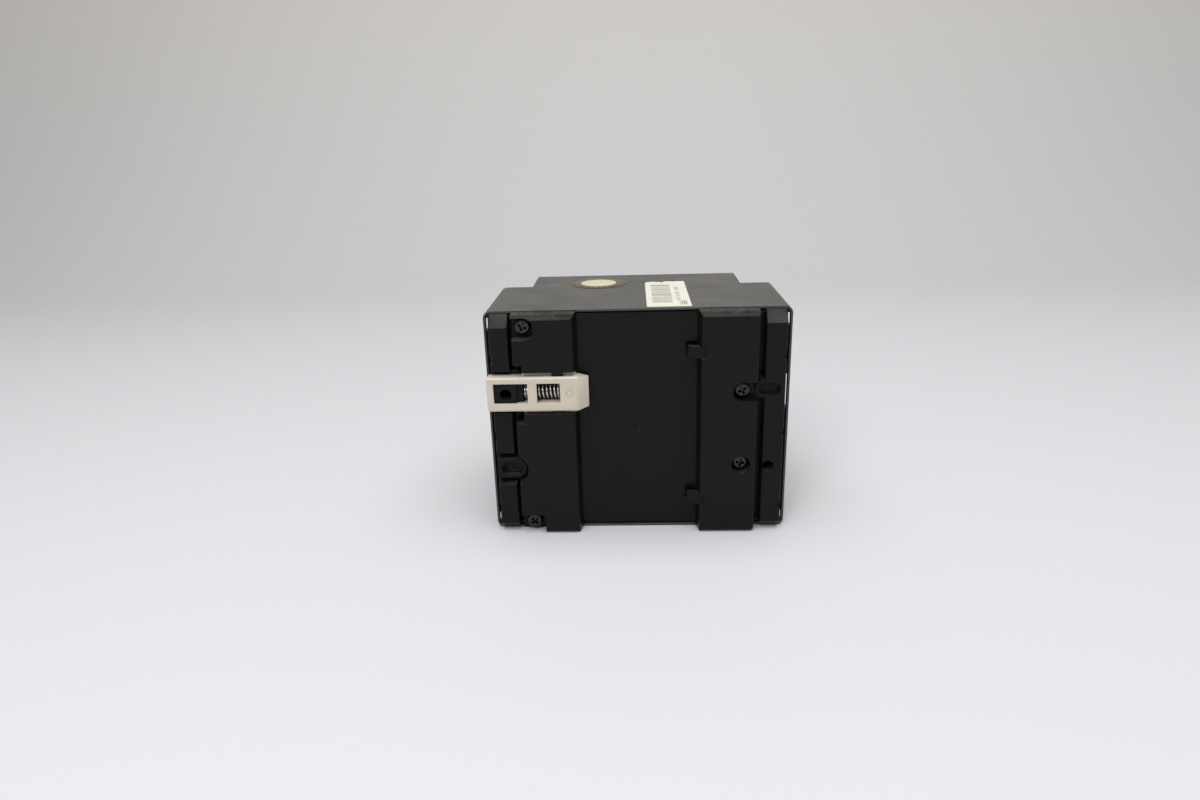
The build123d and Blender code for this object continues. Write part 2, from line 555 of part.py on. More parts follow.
def clamp_plates(side):
    """Square washer with two turned-up edges, under each screw's head."""
    for z in TERMINAL_Z:
        slab(around(side * TERMINAL_X, 3.0), (BLOCK_TOP + 0.8, BLOCK_TOP + 1.6), around(z, 3.0))
        for edge in (-1, 1):
            slab(around(side * TERMINAL_X, 3.0), (BLOCK_TOP + 1.5, BLOCK_TOP + 2.2),
                 around(z + edge * 3.0, 0.3))
        rod(side * TERMINAL_X, z, 1.55, (BLOCK_TOP, BLOCK_TOP + 3), Mode.SUBTRACT)


def terminal_screws(side):
    for z in TERMINAL_Z:
        cross_screw(side * TERMINAL_X, z, BLOCK_TOP + 3.6, BLOCK_TOP + 1.6, DECK[1] + 1.0, 1.45, 2.6, 3.4)


def terminal_cover(side):
    """Hinged lid with a short outer wall; wires pass below that wall."""
    cover_z = (BAY_Z[0] + 0.2, BAY_Z[1] - 0.2)
    slab(on_side(side, (HINGE_X, LENGTH / 2)), (TIER_DEPTH - COVER_WALL, TIER_DEPTH), cover_z)
    slab(on_side(side, (LENGTH / 2 - COVER_WALL, LENGTH / 2)), (COVER_EDGE, TIER_DEPTH), cover_z)
    axle(side * HINGE_X, HINGE_DEPTH, HINGE_RADIUS, cover_z)
    axle(side * HINGE_X, HINGE_DEPTH, PIN_RADIUS, (BAY_Z[0] - 1.0, BAY_Z[1] + 1.0))


SETS = (
    ("terminal_block", terminal_block),
    ("contact_bars", contact_bars),
    ("clamp_plates", clamp_plates),
    ("terminal_screws", terminal_screws),
    ("terminal_cover", terminal_cover),
)
for end_name, side in (("top", 1), ("bottom", -1)):
    for set_name, shape in SETS:
        with BuildPart() as terminal_piece:
            shape(side)
            if shape is terminal_cover:
                outer = terminal_piece.edges().filter_by(Axis.Z).sort_by(Axis.X)
                corner = (outer[-4:] if side > 0 else outer[:4]).sort_by(Axis.Y)[-1]
                fillet(corner, 0.9)
        save(terminal_piece, f"{set_name}_{end_name}")


# Relay board and what stands on it

RELAY_PINS = ((2.1, 0.0), (5.0, -3.6), (5.0, 3.6), (14.0, -2.5), (16.3, 2.5))
BIG_CAPACITOR = (5.0, 28.5)
SMALL_CAPACITORS = ((16.0, 13.5), (5.0, 12.0))
OPTO_X = 22.6
OPTO_Z = [11.5 + 9.0 * i for i in range(6)]

with BuildPart() as relay_board:
    slab((-BOARD_HALF_X, BOARD_HALF_X), RELAY_BOARD, BOARD_Z)
    for screw_x, screw_z in CASE_SCREWS:
        rod(screw_x, screw_z, BOSS_RADIUS + 0.4, (RELAY_BOARD[0] - 1, RELAY_BOARD[1] + 1), Mode.SUBTRACT)
    slab((-BOARD_HALF_X, CASE_SCREWS[0][0]), (RELAY_BOARD[0] - 1, RELAY_BOARD[1] + 1),
         (CASE_SCREWS[0][1] - 3.4, WIDTH), Mode.SUBTRACT)
    slab((-BOARD_HALF_X, CASE_SCREWS[1][0]), (RELAY_BOARD[0] - 1, RELAY_BOARD[1] + 1),
         (0, CASE_SCREWS[1][1] + 3.4), Mode.SUBTRACT)
    slab((CASE_SCREWS[0][0] - 0.1, CASE_SCREWS[0][0] + 3.4), (RELAY_BOARD[0] - 1, RELAY_BOARD[1] + 1),
         (CASE_SCREWS[0][1], WIDTH), Mode.SUBTRACT)
    slab((CASE_SCREWS[1][0] - 0.1, CASE_SCREWS[1][0] + 3.4), (RELAY_BOARD[0] - 1, RELAY_BOARD[1] + 1),
         (0, CASE_SCREWS[1][1]), Mode.SUBTRACT)
    for post_x, post_z in BOARD_POSTS:
        rod(post_x, post_z, 1.3, (RELAY_BOARD[0] - 1, RELAY_BOARD[1] + 1), Mode.SUBTRACT)
    for side in (-1, 1):
        for z in TERMINAL_Z:
            slab(on_side(side, LEG_X), (RELAY_BOARD[0] - 1, RELAY_BOARD[1] + 1), around(z, 0.6), Mode.SUBTRACT)
    for z in LINK_Z:
        slab(around(LINK_X, LINK_PIN / 2), (RELAY_BOARD[0] - 1, RELAY_BOARD[1] + 1), around(z, LINK_PIN / 2),
             Mode.SUBTRACT)
    for relay_z in RELAY_Z:
        for pin_x, pin_z in RELAY_PINS:
            rod(RELAY_X + pin_x, relay_z + pin_z, 0.4, (RELAY_BOARD[0] - 1, RELAY_BOARD[1] + 1), Mode.SUBTRACT)
save(relay_board, "relay_board")

with BuildPart() as board_screws:
    for post_x, post_z in BOARD_POSTS:
        cross_screw(post_x, post_z, RELAY_BOARD[1] + 1.6, RELAY_BOARD[1], BASE_INSIDE + 1.2, 0.95, 2.2, 2.4)
save(board_screws, "board_screws")

with BuildPart() as link_header:
    slab(around(LINK_X, 1.25), (RELAY_BOARD[1], RELAY_BOARD[1] + 26), (LINK_Z[0] - 1.27, LINK_Z[-1] + 1.27))
    for z in LINK_Z:
        slab(around(LINK_X, LINK_PIN / 2), (RELAY_BOARD[1] - 1, LOGIC_BOARD[1]), around(z, LINK_PIN / 2),
             Mode.SUBTRACT)
save(link_header, "link_header")

with BuildPart() as link_pins:
    for z in LINK_Z:
        slab(around(LINK_X, LINK_PIN / 2), (RELAY_BOARD[0] - 0.8, LOGIC_BOARD[1] + 1), around(z, LINK_PIN / 2))
save(link_pins, "link_pins")

with BuildPart() as filter_capacitor:
    rod(*BIG_CAPACITOR, 6.3, (RELAY_BOARD[1], RELAY_BOARD[1] + 20))
    fillet(filter_capacitor.edges().sort_by(Axis.Y)[-1], 0.6)
save(filter_capacitor, "filter_capacitor")

with BuildPart() as small_capacitors:
    for capacitor_x, capacitor_z in SMALL_CAPACITORS:
        rod(capacitor_x, capacitor_z, 3.15, (RELAY_BOARD[1], RELAY_BOARD[1] + 11))
save(small_capacitors, "small_capacitors")

with BuildPart() as optocouplers:
    for z in OPTO_Z:
        slab(around(OPTO_X, 2.3), (RELAY_BOARD[1], RELAY_BOARD[1] + 3.6), around(z, 3.2))
save(optocouplers, "optocouplers")

TRANSFORMER = (7.0, 52.0)
with BuildPart() as transformer_core:
    slab(around(TRANSFORMER[0], 9.5), (RELAY_BOARD[1] + 2.0, RELAY_BOARD[1] + 16.0), around(TRANSFORMER[1], 3.0))
    for edge in (-1, 1):
        slab(around(TRANSFORMER[0] + edge * 5.5, 2.4), (RELAY_BOARD[1] + 4.6, RELAY_BOARD[1] + 13.4),
             around(TRANSFORMER[1], 4), Mode.SUBTRACT)
save(transformer_core, "transformer_core")

with BuildPart() as transformer_coil:
    slab(around(TRANSFORMER[0], 7.8), (RELAY_BOARD[1] + 4.7, RELAY_BOARD[1] + 13.3), around(TRANSFORMER[1], 6.4))
    slab(around(TRANSFORMER[0], 3.1), (RELAY_BOARD[1] + 4.0, RELAY_BOARD[1] + 14.0), around(TRANSFORMER[1], 3.0),
         Mode.SUBTRACT)
    for edge in (-1, 1):
        slab(around(TRANSFORMER[0] + edge * 9.0, 1.1), (RELAY_BOARD[1], RELAY_BOARD[1] + 20),
             around(TRANSFORMER[1], 3.0), Mode.SUBTRACT)
save(transformer_coil, "transformer_coil")

with BuildPart() as fuse:
    axle(30.8, RELAY_BOARD[1] + 2.4, 1.6, (29.0, 41.0))
    for cap_z in ((28.0, 30.5), (39.5, 42.0)):
        axle(30.8, RELAY_BOARD[1] + 2.4, 2.0, cap_z)
        slab(around(30.8, 0.4), (RELAY_BOARD[1], RELAY_BOARD[1] + 1.6), cap_z)
save(fuse, "fuse")

with BuildPart() as varistor:
    barrel((15.0, 18.0), RELAY_BOARD[1] + 5.2, 33.0, 4.4)
    for lead_z in (31.0, 35.0):
        rod(16.5, lead_z, 0.35, (RELAY_BOARD[1], RELAY_BOARD[1] + 3))
save(varistor, "varistor")


# Relays: header, bobbin, winding, core, yoke, fixed contacts, pins and cover; the armature moves

def at_relay(x):
    return RELAY_X + x[0], RELAY_X + x[1]


with BuildPart() as relay_headers:
    for z in RELAY_Z:
        slab(at_relay((0, RELAY_LENGTH)), (RELAY_BOARD[1], HEADER_TOP), around(z, RELAY_HALF))
save(relay_headers, "relay_headers")

with BuildPart() as relay_pins:
    for z in RELAY_Z:
        for pin_x, pin_z in RELAY_PINS:
            rod(RELAY_X + pin_x, z + pin_z, 0.4, (RELAY_BOARD[0] - 0.8, RELAY_BOARD[1]))
save(relay_pins, "relay_pins")

with BuildPart() as relay_bobbins:
    for z in RELAY_Z:
        barrel(at_relay((COIL_X[0] - 0.8, COIL_X[1] + 0.8)), COIL_DEPTH, z, 2.2)
        for flange_x in ((COIL_X[0] - 0.8, COIL_X[0]), (COIL_X[1], COIL_X[1] + 0.8)):
            slab(at_relay(flange_x), (HEADER_TOP + 0.1, COIL_DEPTH + 4.0), around(z, 3.8))
        barrel(at_relay((COIL_X[0] - 2, COIL_X[1] + 2)), COIL_DEPTH, z, CORE_RADIUS, Mode.SUBTRACT)
save(relay_bobbins, "relay_bobbins")

with BuildPart() as relay_windings:
    for z in RELAY_Z:
        barrel(at_relay(COIL_X), COIL_DEPTH, z, 3.5)
        barrel(at_relay(COIL_X), COIL_DEPTH, z, 2.2, Mode.SUBTRACT)
save(relay_windings, "relay_windings")

with BuildPart() as relay_cores:
    for z in RELAY_Z:
        barrel(at_relay((1.6, COIL_X[1] + 0.9)), COIL_DEPTH, z, CORE_RADIUS)
        barrel(at_relay((COIL_X[1] + 0.8, 14.0)), COIL_DEPTH, z, 2.6)
save(relay_cores, "relay_cores")

with BuildPart() as relay_yokes:
    for z in RELAY_Z:
        slab(at_relay((1.6, 2.6)), (HEADER_TOP + 0.2, 21.6), around(z, YOKE_HALF))
        slab(at_relay((1.6, 14.6)), (20.6, 21.6), around(z, YOKE_HALF))
        barrel(at_relay((1.0, 3.0)), COIL_DEPTH, z, CORE_RADIUS, Mode.SUBTRACT)
save(relay_yokes, "relay_yokes")

with BuildPart() as relay_fixed_contacts:
    for z in RELAY_Z:
        slab(at_relay((13.9, 14.45)), (HEADER_TOP, 13.6), around(z, 1.2))
        barrel(at_relay((14.4, 14.7)), 13.0, z, 0.55)
        slab(at_relay((15.95, 16.5)), (HEADER_TOP, 14.2), around(z, 1.2))
save(relay_fixed_contacts, "relay_fixed_contacts")

with BuildPart() as relay_covers:
    for z in RELAY_Z:
        slab(at_relay((0, RELAY_LENGTH)), (HEADER_TOP, 24.0), around(z, RELAY_HALF))
        slab(at_relay((0.6, RELAY_LENGTH - 0.6)), (HEADER_TOP - 1, 23.4), around(z, RELAY_HALF - 0.6),
             Mode.SUBTRACT)
save(relay_covers, "relay_covers")

for number, z in enumerate(RELAY_Z, 1):
    with BuildPart() as armature:
        slab(at_relay(ARMATURE_X), (14.2, 21.5), around(z, 3.3))
    save(armature, f"armature_{number}")
    with BuildPart() as contact_blade:
        slab(at_relay((ARMATURE_X[1], ARMATURE_X[1] + 0.3)), (12.5, 19.5), around(z, 1.6))
        barrel(at_relay((ARMATURE_X[1] - 0.25, ARMATURE_X[1] + 0.1)), 13.0, z, 0.55)
    save(contact_blade, f"contact_blade_{number}")


# Logic board, with the indicators under the lens

LED_Z = [13.0 + 5.5 * i for i in range(9)]
LED_X = sum(LENS_X) / 2

with BuildPart() as logic_board:
    slab((-31.0, 31.0), LOGIC_BOARD, (3.0, 67.0))
    for post_x, post_z in LOGIC_POSTS:
        rod(post_x, post_z, 1.2, (LOGIC_BOARD[0] - 1, LOGIC_BOARD[1] + 1), Mode.SUBTRACT)
    for z in LINK_Z:
        slab(around(LINK_X, LINK_PIN / 2), (LOGIC_BOARD[0] - 1, LOGIC_BOARD[1] + 1), around(z, LINK_PIN / 2),
             Mode.SUBTRACT)
save(logic_board, "logic_board")

with BuildPart() as logic_board_screws:
    for post_x, post_z in LOGIC_POSTS:
        cross_screw(post_x, post_z, LOGIC_BOARD[0] - 1.6, LOGIC_BOARD[0], PANEL_INSIDE - 1.6, 0.85, 2.1, 2.2)
save(logic_board_screws, "logic_board_screws")

with BuildPart() as status_leds:
    for z in LED_Z:
        rod(LED_X, z, 1.45, (LOGIC_BOARD[1], LOGIC_BOARD[1] + 4.6))
        with Locations((LED_X, RIM_Y + LOGIC_BOARD[1] + 4.6, z)):
            Sphere(1.45)
save(status_leds, "status_leds")

with BuildPart() as microcontroller:
    slab(around(8.0, 6.0), (LOGIC_BOARD[1] + 0.1, LOGIC_BOARD[1] + 1.6), around(40.0, 6.0))
    for i in range(11):
        lead = (i - 5) * 1.0
        slab(around(8.0, 7.2), (LOGIC_BOARD[1], LOGIC_BOARD[1] + 0.5), around(40.0 + lead, 0.22))
        slab(around(8.0 + lead, 0.22), (LOGIC_BOARD[1], LOGIC_BOARD[1] + 0.5), around(40.0, 7.2))
save(microcontroller, "microcontroller")

with BuildPart() as output_driver:
    slab(around(10.0, 3.2), (LOGIC_BOARD[1] + 0.3, LOGIC_BOARD[1] + 3.4), around(17.0, 9.6))
    for i in range(7):
        slab(around(10.0, 4.2), (LOGIC_BOARD[1], LOGIC_BOARD[1] + 1.2), around(17.0 + (i - 3) * 2.54, 0.5))
save(output_driver, "output_driver")

with BuildPart() as crystal:
    for edge in (-1, 1):
        rod(22.0 + edge * 2.4, 42.0, 1.9, (LOGIC_BOARD[1], LOGIC_BOARD[1] + 3.4))
    slab(around(22.0, 2.4), (LOGIC_BOARD[1], LOGIC_BOARD[1] + 3.4), around(42.0, 1.9))
save(crystal, "crystal")

with BuildPart() as chip_resistors:
    for z in LED_Z:
        slab(around(LED_X + 6.0, 1.0), (LOGIC_BOARD[1], LOGIC_BOARD[1] + 0.6), around(z, 0.6))
save(chip_resistors, "chip_resistors")

print("overall", LENGTH, DEPTH, WIDTH, "spring rate N/m",
      round(79e3 * SPRING_WIRE**4 / (8 * (2 * coil_radius) ** 3 * SPRING_TURNS) * 1000),
      "wire length", round(pi * 2 * coil_radius * SPRING_TURNS, 1))
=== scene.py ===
# %% [markdown]
# # A rail-mounted control relay module
#
# The module is a charcoal plastic box that clips on a rail in a switch cabinet. It lies on one side, with
# its back towards -Y. The CAD frame already holds every part at its true size, so this script only makes
# the looks: finishes, light, and the pieces whose small shapes are easier to model by hand in Blender.

# %% Load the frame
import json
from math import cos, pi, radians, sin

import bpy
from mathutils import Matrix, Vector

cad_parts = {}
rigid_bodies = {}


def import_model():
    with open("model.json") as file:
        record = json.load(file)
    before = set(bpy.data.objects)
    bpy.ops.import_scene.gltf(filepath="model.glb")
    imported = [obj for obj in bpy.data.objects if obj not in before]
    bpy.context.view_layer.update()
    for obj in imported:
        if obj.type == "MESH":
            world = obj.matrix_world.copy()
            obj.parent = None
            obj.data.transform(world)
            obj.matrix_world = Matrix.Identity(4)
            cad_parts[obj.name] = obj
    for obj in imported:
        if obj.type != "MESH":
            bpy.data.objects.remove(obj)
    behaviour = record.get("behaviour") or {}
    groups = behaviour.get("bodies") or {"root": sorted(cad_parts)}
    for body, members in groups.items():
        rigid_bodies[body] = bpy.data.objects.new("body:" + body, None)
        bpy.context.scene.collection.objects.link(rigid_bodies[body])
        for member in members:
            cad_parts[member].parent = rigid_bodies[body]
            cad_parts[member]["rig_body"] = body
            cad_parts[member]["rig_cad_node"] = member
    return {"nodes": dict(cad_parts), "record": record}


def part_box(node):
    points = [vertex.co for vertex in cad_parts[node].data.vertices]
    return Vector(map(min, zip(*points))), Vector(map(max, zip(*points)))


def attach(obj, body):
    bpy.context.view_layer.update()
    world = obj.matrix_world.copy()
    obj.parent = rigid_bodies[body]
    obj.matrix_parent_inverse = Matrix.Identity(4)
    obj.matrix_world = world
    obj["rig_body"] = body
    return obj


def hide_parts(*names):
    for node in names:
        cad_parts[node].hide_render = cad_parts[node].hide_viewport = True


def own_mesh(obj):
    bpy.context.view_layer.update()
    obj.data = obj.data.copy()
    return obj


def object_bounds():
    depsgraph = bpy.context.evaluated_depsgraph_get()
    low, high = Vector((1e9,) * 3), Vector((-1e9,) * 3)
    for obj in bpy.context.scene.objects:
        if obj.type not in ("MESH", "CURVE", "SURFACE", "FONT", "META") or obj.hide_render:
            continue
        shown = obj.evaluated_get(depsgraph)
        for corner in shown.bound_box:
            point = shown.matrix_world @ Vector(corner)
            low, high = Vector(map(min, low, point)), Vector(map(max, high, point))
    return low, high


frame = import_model()
cad_low, cad_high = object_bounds()
nodes = frame["nodes"]
record = frame["record"]
MM = 0.001
HAIR = 0.01 * MM  # a hair of clearance, also the distance within which points are merged
bpy.ops.object.select_all(action="DESELECT")
print("frame", len(nodes), "nodes", [round(v / MM, 1) for v in cad_high - cad_low], "mm")

# %% [markdown]
# ## Camera
#
# The camera stands low in front of the module's back and looks down a little, as someone would hold it to
# read the back plate. It is built from three turns: a heading, a pitch and a slight roll.

# %% Camera
CAMERA_PLACE = Vector((-1, -256, 121)) * MM
HEADING, PITCH, ROLL = radians(2.57), radians(18.82), radians(-1.66)
LENS_MM = 24.36

bpy.ops.object.camera_add(location=CAMERA_PLACE)
camera = bpy.context.object
look_down = Matrix.Rotation(pi / 2 - PITCH, 4, "X")
turn = Matrix.Rotation(HEADING, 4, "Z") @ look_down @ Matrix.Rotation(ROLL, 4, "Z")
camera.rotation_euler = turn.to_euler()
camera.data.lens = LENS_MM
camera.data.sensor_width = 36
camera.data.clip_start = 0.005
bpy.context.scene.camera = camera
print("camera", [round(v, 3) for v in camera.location])

# %% [markdown]
# ## Small helpers for shader nodes
#
# A material is a tree of nodes. These helpers add a node, fill its inputs with numbers or links, and mix
# two colours, so that each finish below reads as a short recipe.


# %% Node helpers
def add(tree, kind, inputs=None, **settings):
    made = tree.nodes.new("ShaderNode" + kind)
    for name, value in settings.items():
        setattr(made, name, value)
    for name, value in (inputs or {}).items():
        if isinstance(value, bpy.types.NodeSocket):
            tree.links.new(value, made.inputs[name])
        else:
            made.inputs[name].default_value = value
    return made


def maths(tree, operation, a, b=0.0):
    return add(tree, "Math", {0: a, 1: b}, operation=operation).outputs[0]


def mix_colour(tree, mask, a, b):
    mixer = add(tree, "Mix", {0: mask}, data_type="RGBA")
    for socket, value in ((mixer.inputs[6], a), (mixer.inputs[7], b)):
        if isinstance(value, bpy.types.NodeSocket):
            tree.links.new(value, socket)
        else:
            socket.default_value = value
    return mixer.outputs[2]


def ramp(tree, value, low, high, to_low=0.0, to_high=1.0):
    """Takes a value from one range to another and stops at its ends."""
    inputs = {"Value": value, "From Min": low, "From Max": high, "To Min": to_low, "To Max": to_high}
    return add(tree, "MapRange", inputs).outputs[0]


def place(tree):
    """Object coordinates, which on every piece here are the module's own coordinates in metres."""
    return add(tree, "TexCoord").outputs["Object"]


def xyz(tree):
    return add(tree, "SeparateXYZ", {0: place(tree)}).outputs


def between(tree, value, low, high, edge):
    """1 where value is between low and high, with a soft edge."""
    rising = ramp(tree, value, low - edge, low + edge)
    falling = ramp(tree, value, high - edge, high + edge, 1.0, 0.0)
    return maths(tree, "MULTIPLY", rising, falling)


def block(tree, across, across_span, across_edge, along, along_span, along_edge):
    """1 inside a rectangle that two spans make."""
    over = between(tree, across, *across_span, across_edge)
    return maths(tree, "MULTIPLY", over, between(tree, along, *along_span, along_edge))


def new_group(name, inputs, outputs):
    """An empty node group with its sockets; returns the tree and its two end nodes."""
    tree = bpy.data.node_groups.new(name, "ShaderNodeTree")
    for socket_name, value in inputs:
        socket = tree.interface.new_socket(socket_name, in_out="INPUT", socket_type="NodeSocketFloat")
        socket.default_value = value
    for socket_name, kind in outputs:
        tree.interface.new_socket(socket_name, in_out="OUTPUT", socket_type=kind)
    return tree, tree.nodes.new("NodeGroupInput"), tree.nodes.new("NodeGroupOutput")


def use_group(tree, group, inputs):
    made = tree.nodes.new("ShaderNodeGroup")
    made.node_tree = group
    for name, value in inputs.items():
        if isinstance(value, bpy.types.NodeSocket):
            tree.links.new(value, made.inputs[name])
        else:
            made.inputs[name].default_value = value
    return made.outputs


FLOAT, VECTOR = "NodeSocketFloat", "NodeSocketVector"
print("node helpers ready")

# %% [markdown]
# ## Shared effects
#
# Moulded plastic gets its soft sheen from a spark-eroded mould: a skin of tiny pits. The pits are two
# noises of different size. The same group gives slow patches, which stand for handling.

# %% Spark-eroded grain
grain, ends_in, ends_out = new_group(
    "Spark-eroded grain",
    [("Pit size", 0.0003), ("Patch size", 0.02)],
    [("Height", FLOAT), ("Patches", FLOAT)],
)
here = place(grain)
pit_scale = maths(grain, "DIVIDE", 1.0, ends_in.outputs["Pit size"])
patch_scale = maths(grain, "DIVIDE", 1.0, ends_in.outputs["Patch size"])
pits = add(grain, "TexNoise", {"Vector": here, "Scale": pit_scale, "Detail": 3.0, "Roughness": 0.6})
wide_scale = maths(grain, "MULTIPLY", pit_scale, 0.37)
wide_pits = add(grain, "TexNoise", {"Vector": here, "Scale": wide_scale, "Detail": 1.0})
patches = add(grain, "TexNoise", {"Vector": here, "Scale": patch_scale, "Detail": 4.0, "Roughness": 0.55})
both = maths(grain, "ADD", pits.outputs[0], maths(grain, "MULTIPLY", wide_pits.outputs[0], 0.6))
grain.links.new(both, ends_out.inputs["Height"])
grain.links.new(patches.outputs[0], ends_out.inputs["Patches"])
print("group", grain.name)

# %% [markdown]
# Every moulded edge has a small radius, and handling polishes it. The Bevel node looks at the surface round
# a point and gives the normal that a rounded edge would have. Where that differs from the true normal,
# there is an edge, and a noise breaks the worn line up.

# %% Rounded and worn edges
edges, ends_in, ends_out = new_group(
    "Rounded edges", [("Radius", 0.0002), ("Break-up size", 0.002)], [("Normal", VECTOR), ("Wear", FLOAT)]
)
rounded = add(edges, "Bevel", {"Radius": ends_in.outputs["Radius"]}, samples=6)
true_normal = add(edges, "NewGeometry").outputs["True Normal"]
alike = add(edges, "VectorMath", {0: rounded.outputs[0], 1: true_normal}, operation="DOT_PRODUCT")
edge_mask = ramp(edges, alike.outputs["Value"], 0.995, 0.9)
break_scale = maths(edges, "DIVIDE", 1.0, ends_in.outputs["Break-up size"])
break_up = add(edges, "TexNoise", {"Vector": place(edges), "Scale": break_scale, "Detail": 5.0,
                                  "Roughness": 0.7})
worn = maths(edges, "MULTIPLY", edge_mask, ramp(edges, break_up.outputs[0], 0.42, 0.62))
edges.links.new(rounded.outputs[0], ends_out.inputs["Normal"])
edges.links.new(worn, ends_out.inputs["Wear"])
print("group", edges.name)

# %% [markdown]
# A used module has dust, and the same mask also paints the sheen that faces pointing up show under the
# overhead light. It lies on faces that point up and thins out in patches, so the mask is the upward part of
# the normal times a noise. Fine scratches are a second output: long thin cells of a stretched noise.

# %% Dust, painted sheen and scratches
dust_and_sheen, ends_in, ends_out = new_group("Dust and painted sheen", [("Amount", 0.3)], [("Mask", FLOAT), ("Scratches", FLOAT)])
upward = add(dust_and_sheen, "SeparateXYZ", {0: add(dust_and_sheen, "NewGeometry").outputs["Normal"]}).outputs[2]
clouds = add(dust_and_sheen, "TexNoise", {"Vector": place(dust_and_sheen), "Scale": 90.0, "Detail": 6.0, "Roughness": 0.65})
specks = add(dust_and_sheen, "TexNoise", {"Vector": place(dust_and_sheen), "Scale": 1400.0, "Detail": 2.0})
# the mask is partly real dust and partly painted sheen on faces that point up
film = maths(dust_and_sheen, "MULTIPLY", ramp(dust_and_sheen, upward, 0.1, 1.0), ramp(dust_and_sheen, clouds.outputs[0], 0.35, 0.75))
speckled = maths(dust_and_sheen, "MULTIPLY", film, ramp(dust_and_sheen, specks.outputs[0], 0.3, 0.7, 0.4, 1.0))
dust_and_sheen.links.new(maths(dust_and_sheen, "MULTIPLY", speckled, ends_in.outputs["Amount"]), ends_out.inputs["Mask"])
stretched = add(dust_and_sheen, "Mapping", {"Vector": place(dust_and_sheen), "Rotation": (0.3, 0.9, 0.6),
                                  "Scale": (25, 900, 900)})
lines = add(dust_and_sheen, "TexNoise", {"Vector": stretched.outputs[0], "Scale": 1.0, "Detail": 1.0})
dust_and_sheen.links.new(ramp(dust_and_sheen, lines.outputs[0], 0.68, 0.74), ends_out.inputs["Scratches"])
print("shared effects", [g.name for g in bpy.data.node_groups])

# %% [markdown]
# ## Plastics
#
# One recipe serves all the moulded plastics: a colour that drifts a little in patches, lighter worn edges,
# dust with painted sheen on faces that point up, and a bump made from the pits, laid over the rounded-edge
# normal. Each plastic has its own values.


# %% Plastic recipe
def shader_of(name):
    """A new material with its Principled shader; returns the material, its tree and the shader."""
    material = bpy.data.materials.new(name)
    material.use_nodes = True
    return material, material.node_tree, material.node_tree.nodes["Principled BSDF"]


def rgba(colour, factor=1.0):
    return tuple(min(1.0, c * factor) for c in colour) + (1.0,)


def plastic(name, colour, roughness, pit=0.00025, depth=0.00001, radius=0.0002, wear=0.3, dust_sheen_amount=0.25,
            drift=0.12, gloss=0.5):
    material, tree, shader = shader_of(name)
    shader.inputs["Specular IOR Level"].default_value = gloss
    skin = use_group(tree, grain, {"Pit size": pit, "Patch size": 0.018})
    edge = use_group(tree, edges, {"Radius": radius, "Break-up size": 0.0016})
    dust_sheen_scratch = use_group(tree, dust_and_sheen, {"Amount": dust_sheen_amount})
    moulded = mix_colour(tree, skin["Patches"], rgba(colour, 1 - drift), rgba(colour, 1 + drift))
    paler = rgba([c * 1.6 + 0.012 for c in colour])
    polished = mix_colour(tree, maths(tree, "MULTIPLY", edge["Wear"], wear), moulded, paler)
    # the dust colour on faces that point up is partly real dust and partly painted sheen
    dust_sheened = mix_colour(tree, dust_sheen_scratch["Mask"], polished, (0.34, 0.32, 0.29, 1))
    scuffed = mix_colour(tree, maths(tree, "MULTIPLY", dust_sheen_scratch["Scratches"], wear * 0.35), dust_sheened, paler)
    tree.links.new(scuffed, shader.inputs["Base Color"])
    base_rough = ramp(tree, skin["Patches"], 0.3, 0.7, roughness - 0.05, roughness + 0.05)
    rough = maths(tree, "SUBTRACT", base_rough, maths(tree, "MULTIPLY", edge["Wear"], 0.12))
    dulled = maths(tree, "ADD", rough, maths(tree, "MULTIPLY", dust_sheen_scratch["Mask"], 0.3))
    tree.links.new(dulled, shader.inputs["Roughness"])
    bump = add(tree, "Bump", {"Height": skin["Height"], "Normal": edge["Normal"], "Strength": 0.55,
                              "Distance": depth})
    tree.links.new(bump.outputs[0], shader.inputs["Normal"])
    return material


# Both are charcoal plastic; the case colour is raised as painted light on its lit top, and the base colour
# lowered as painted shade on its back in shadow.
case_plastic = plastic("Charcoal case plastic", (0.039, 0.037, 0.034), 0.42, gloss=0.6)
base_plastic = plastic("Black base plastic", (0.0066, 0.0064, 0.0060), 0.24, depth=0.000006, radius=0.00035,
                       wear=0.12, dust_sheen_amount=0.28, gloss=0.13)
slider_plastic = plastic("Cream slider plastic", (0.60, 0.54, 0.44), 0.38, pit=0.0004, wear=0.1, dust_sheen_amount=0.06,
                         drift=0.04)
block_plastic = plastic("Terminal block plastic", (0.028, 0.03, 0.031), 0.5, pit=0.0002)
relay_plastic = plastic("Relay cover plastic", (0.03, 0.10, 0.32), 0.3, dust_sheen_amount=0.0, depth=0.000004)
bobbin_plastic = plastic("Bobbin nylon", (0.62, 0.6, 0.54), 0.45, dust_sheen_amount=0.0)
chip_epoxy = plastic("Chip epoxy", (0.018, 0.018, 0.02), 0.55, pit=0.00012, dust_sheen_amount=0.0, radius=0.0001)
sleeve_plastic = plastic("Capacitor sleeve", (0.02, 0.025, 0.07), 0.25, dust_sheen_amount=0.0, depth=0.000003)
varistor_coat = plastic("Varistor coating", (0.05, 0.14, 0.42), 0.5, pit=0.0006, depth=0.00003, dust_sheen_amount=0.0)
print("plastics", case_plastic.name, base_plastic.name, slider_plastic.name)

# %% [markdown]
# ## Metals
#
# Metals need a different recipe: Metallic is 1, the colour is the metal's own, and the finish is in the
# roughness. Rolled and turned parts carry fine lines, which are a noise stretched along one axis. Plating
# stains in patches.


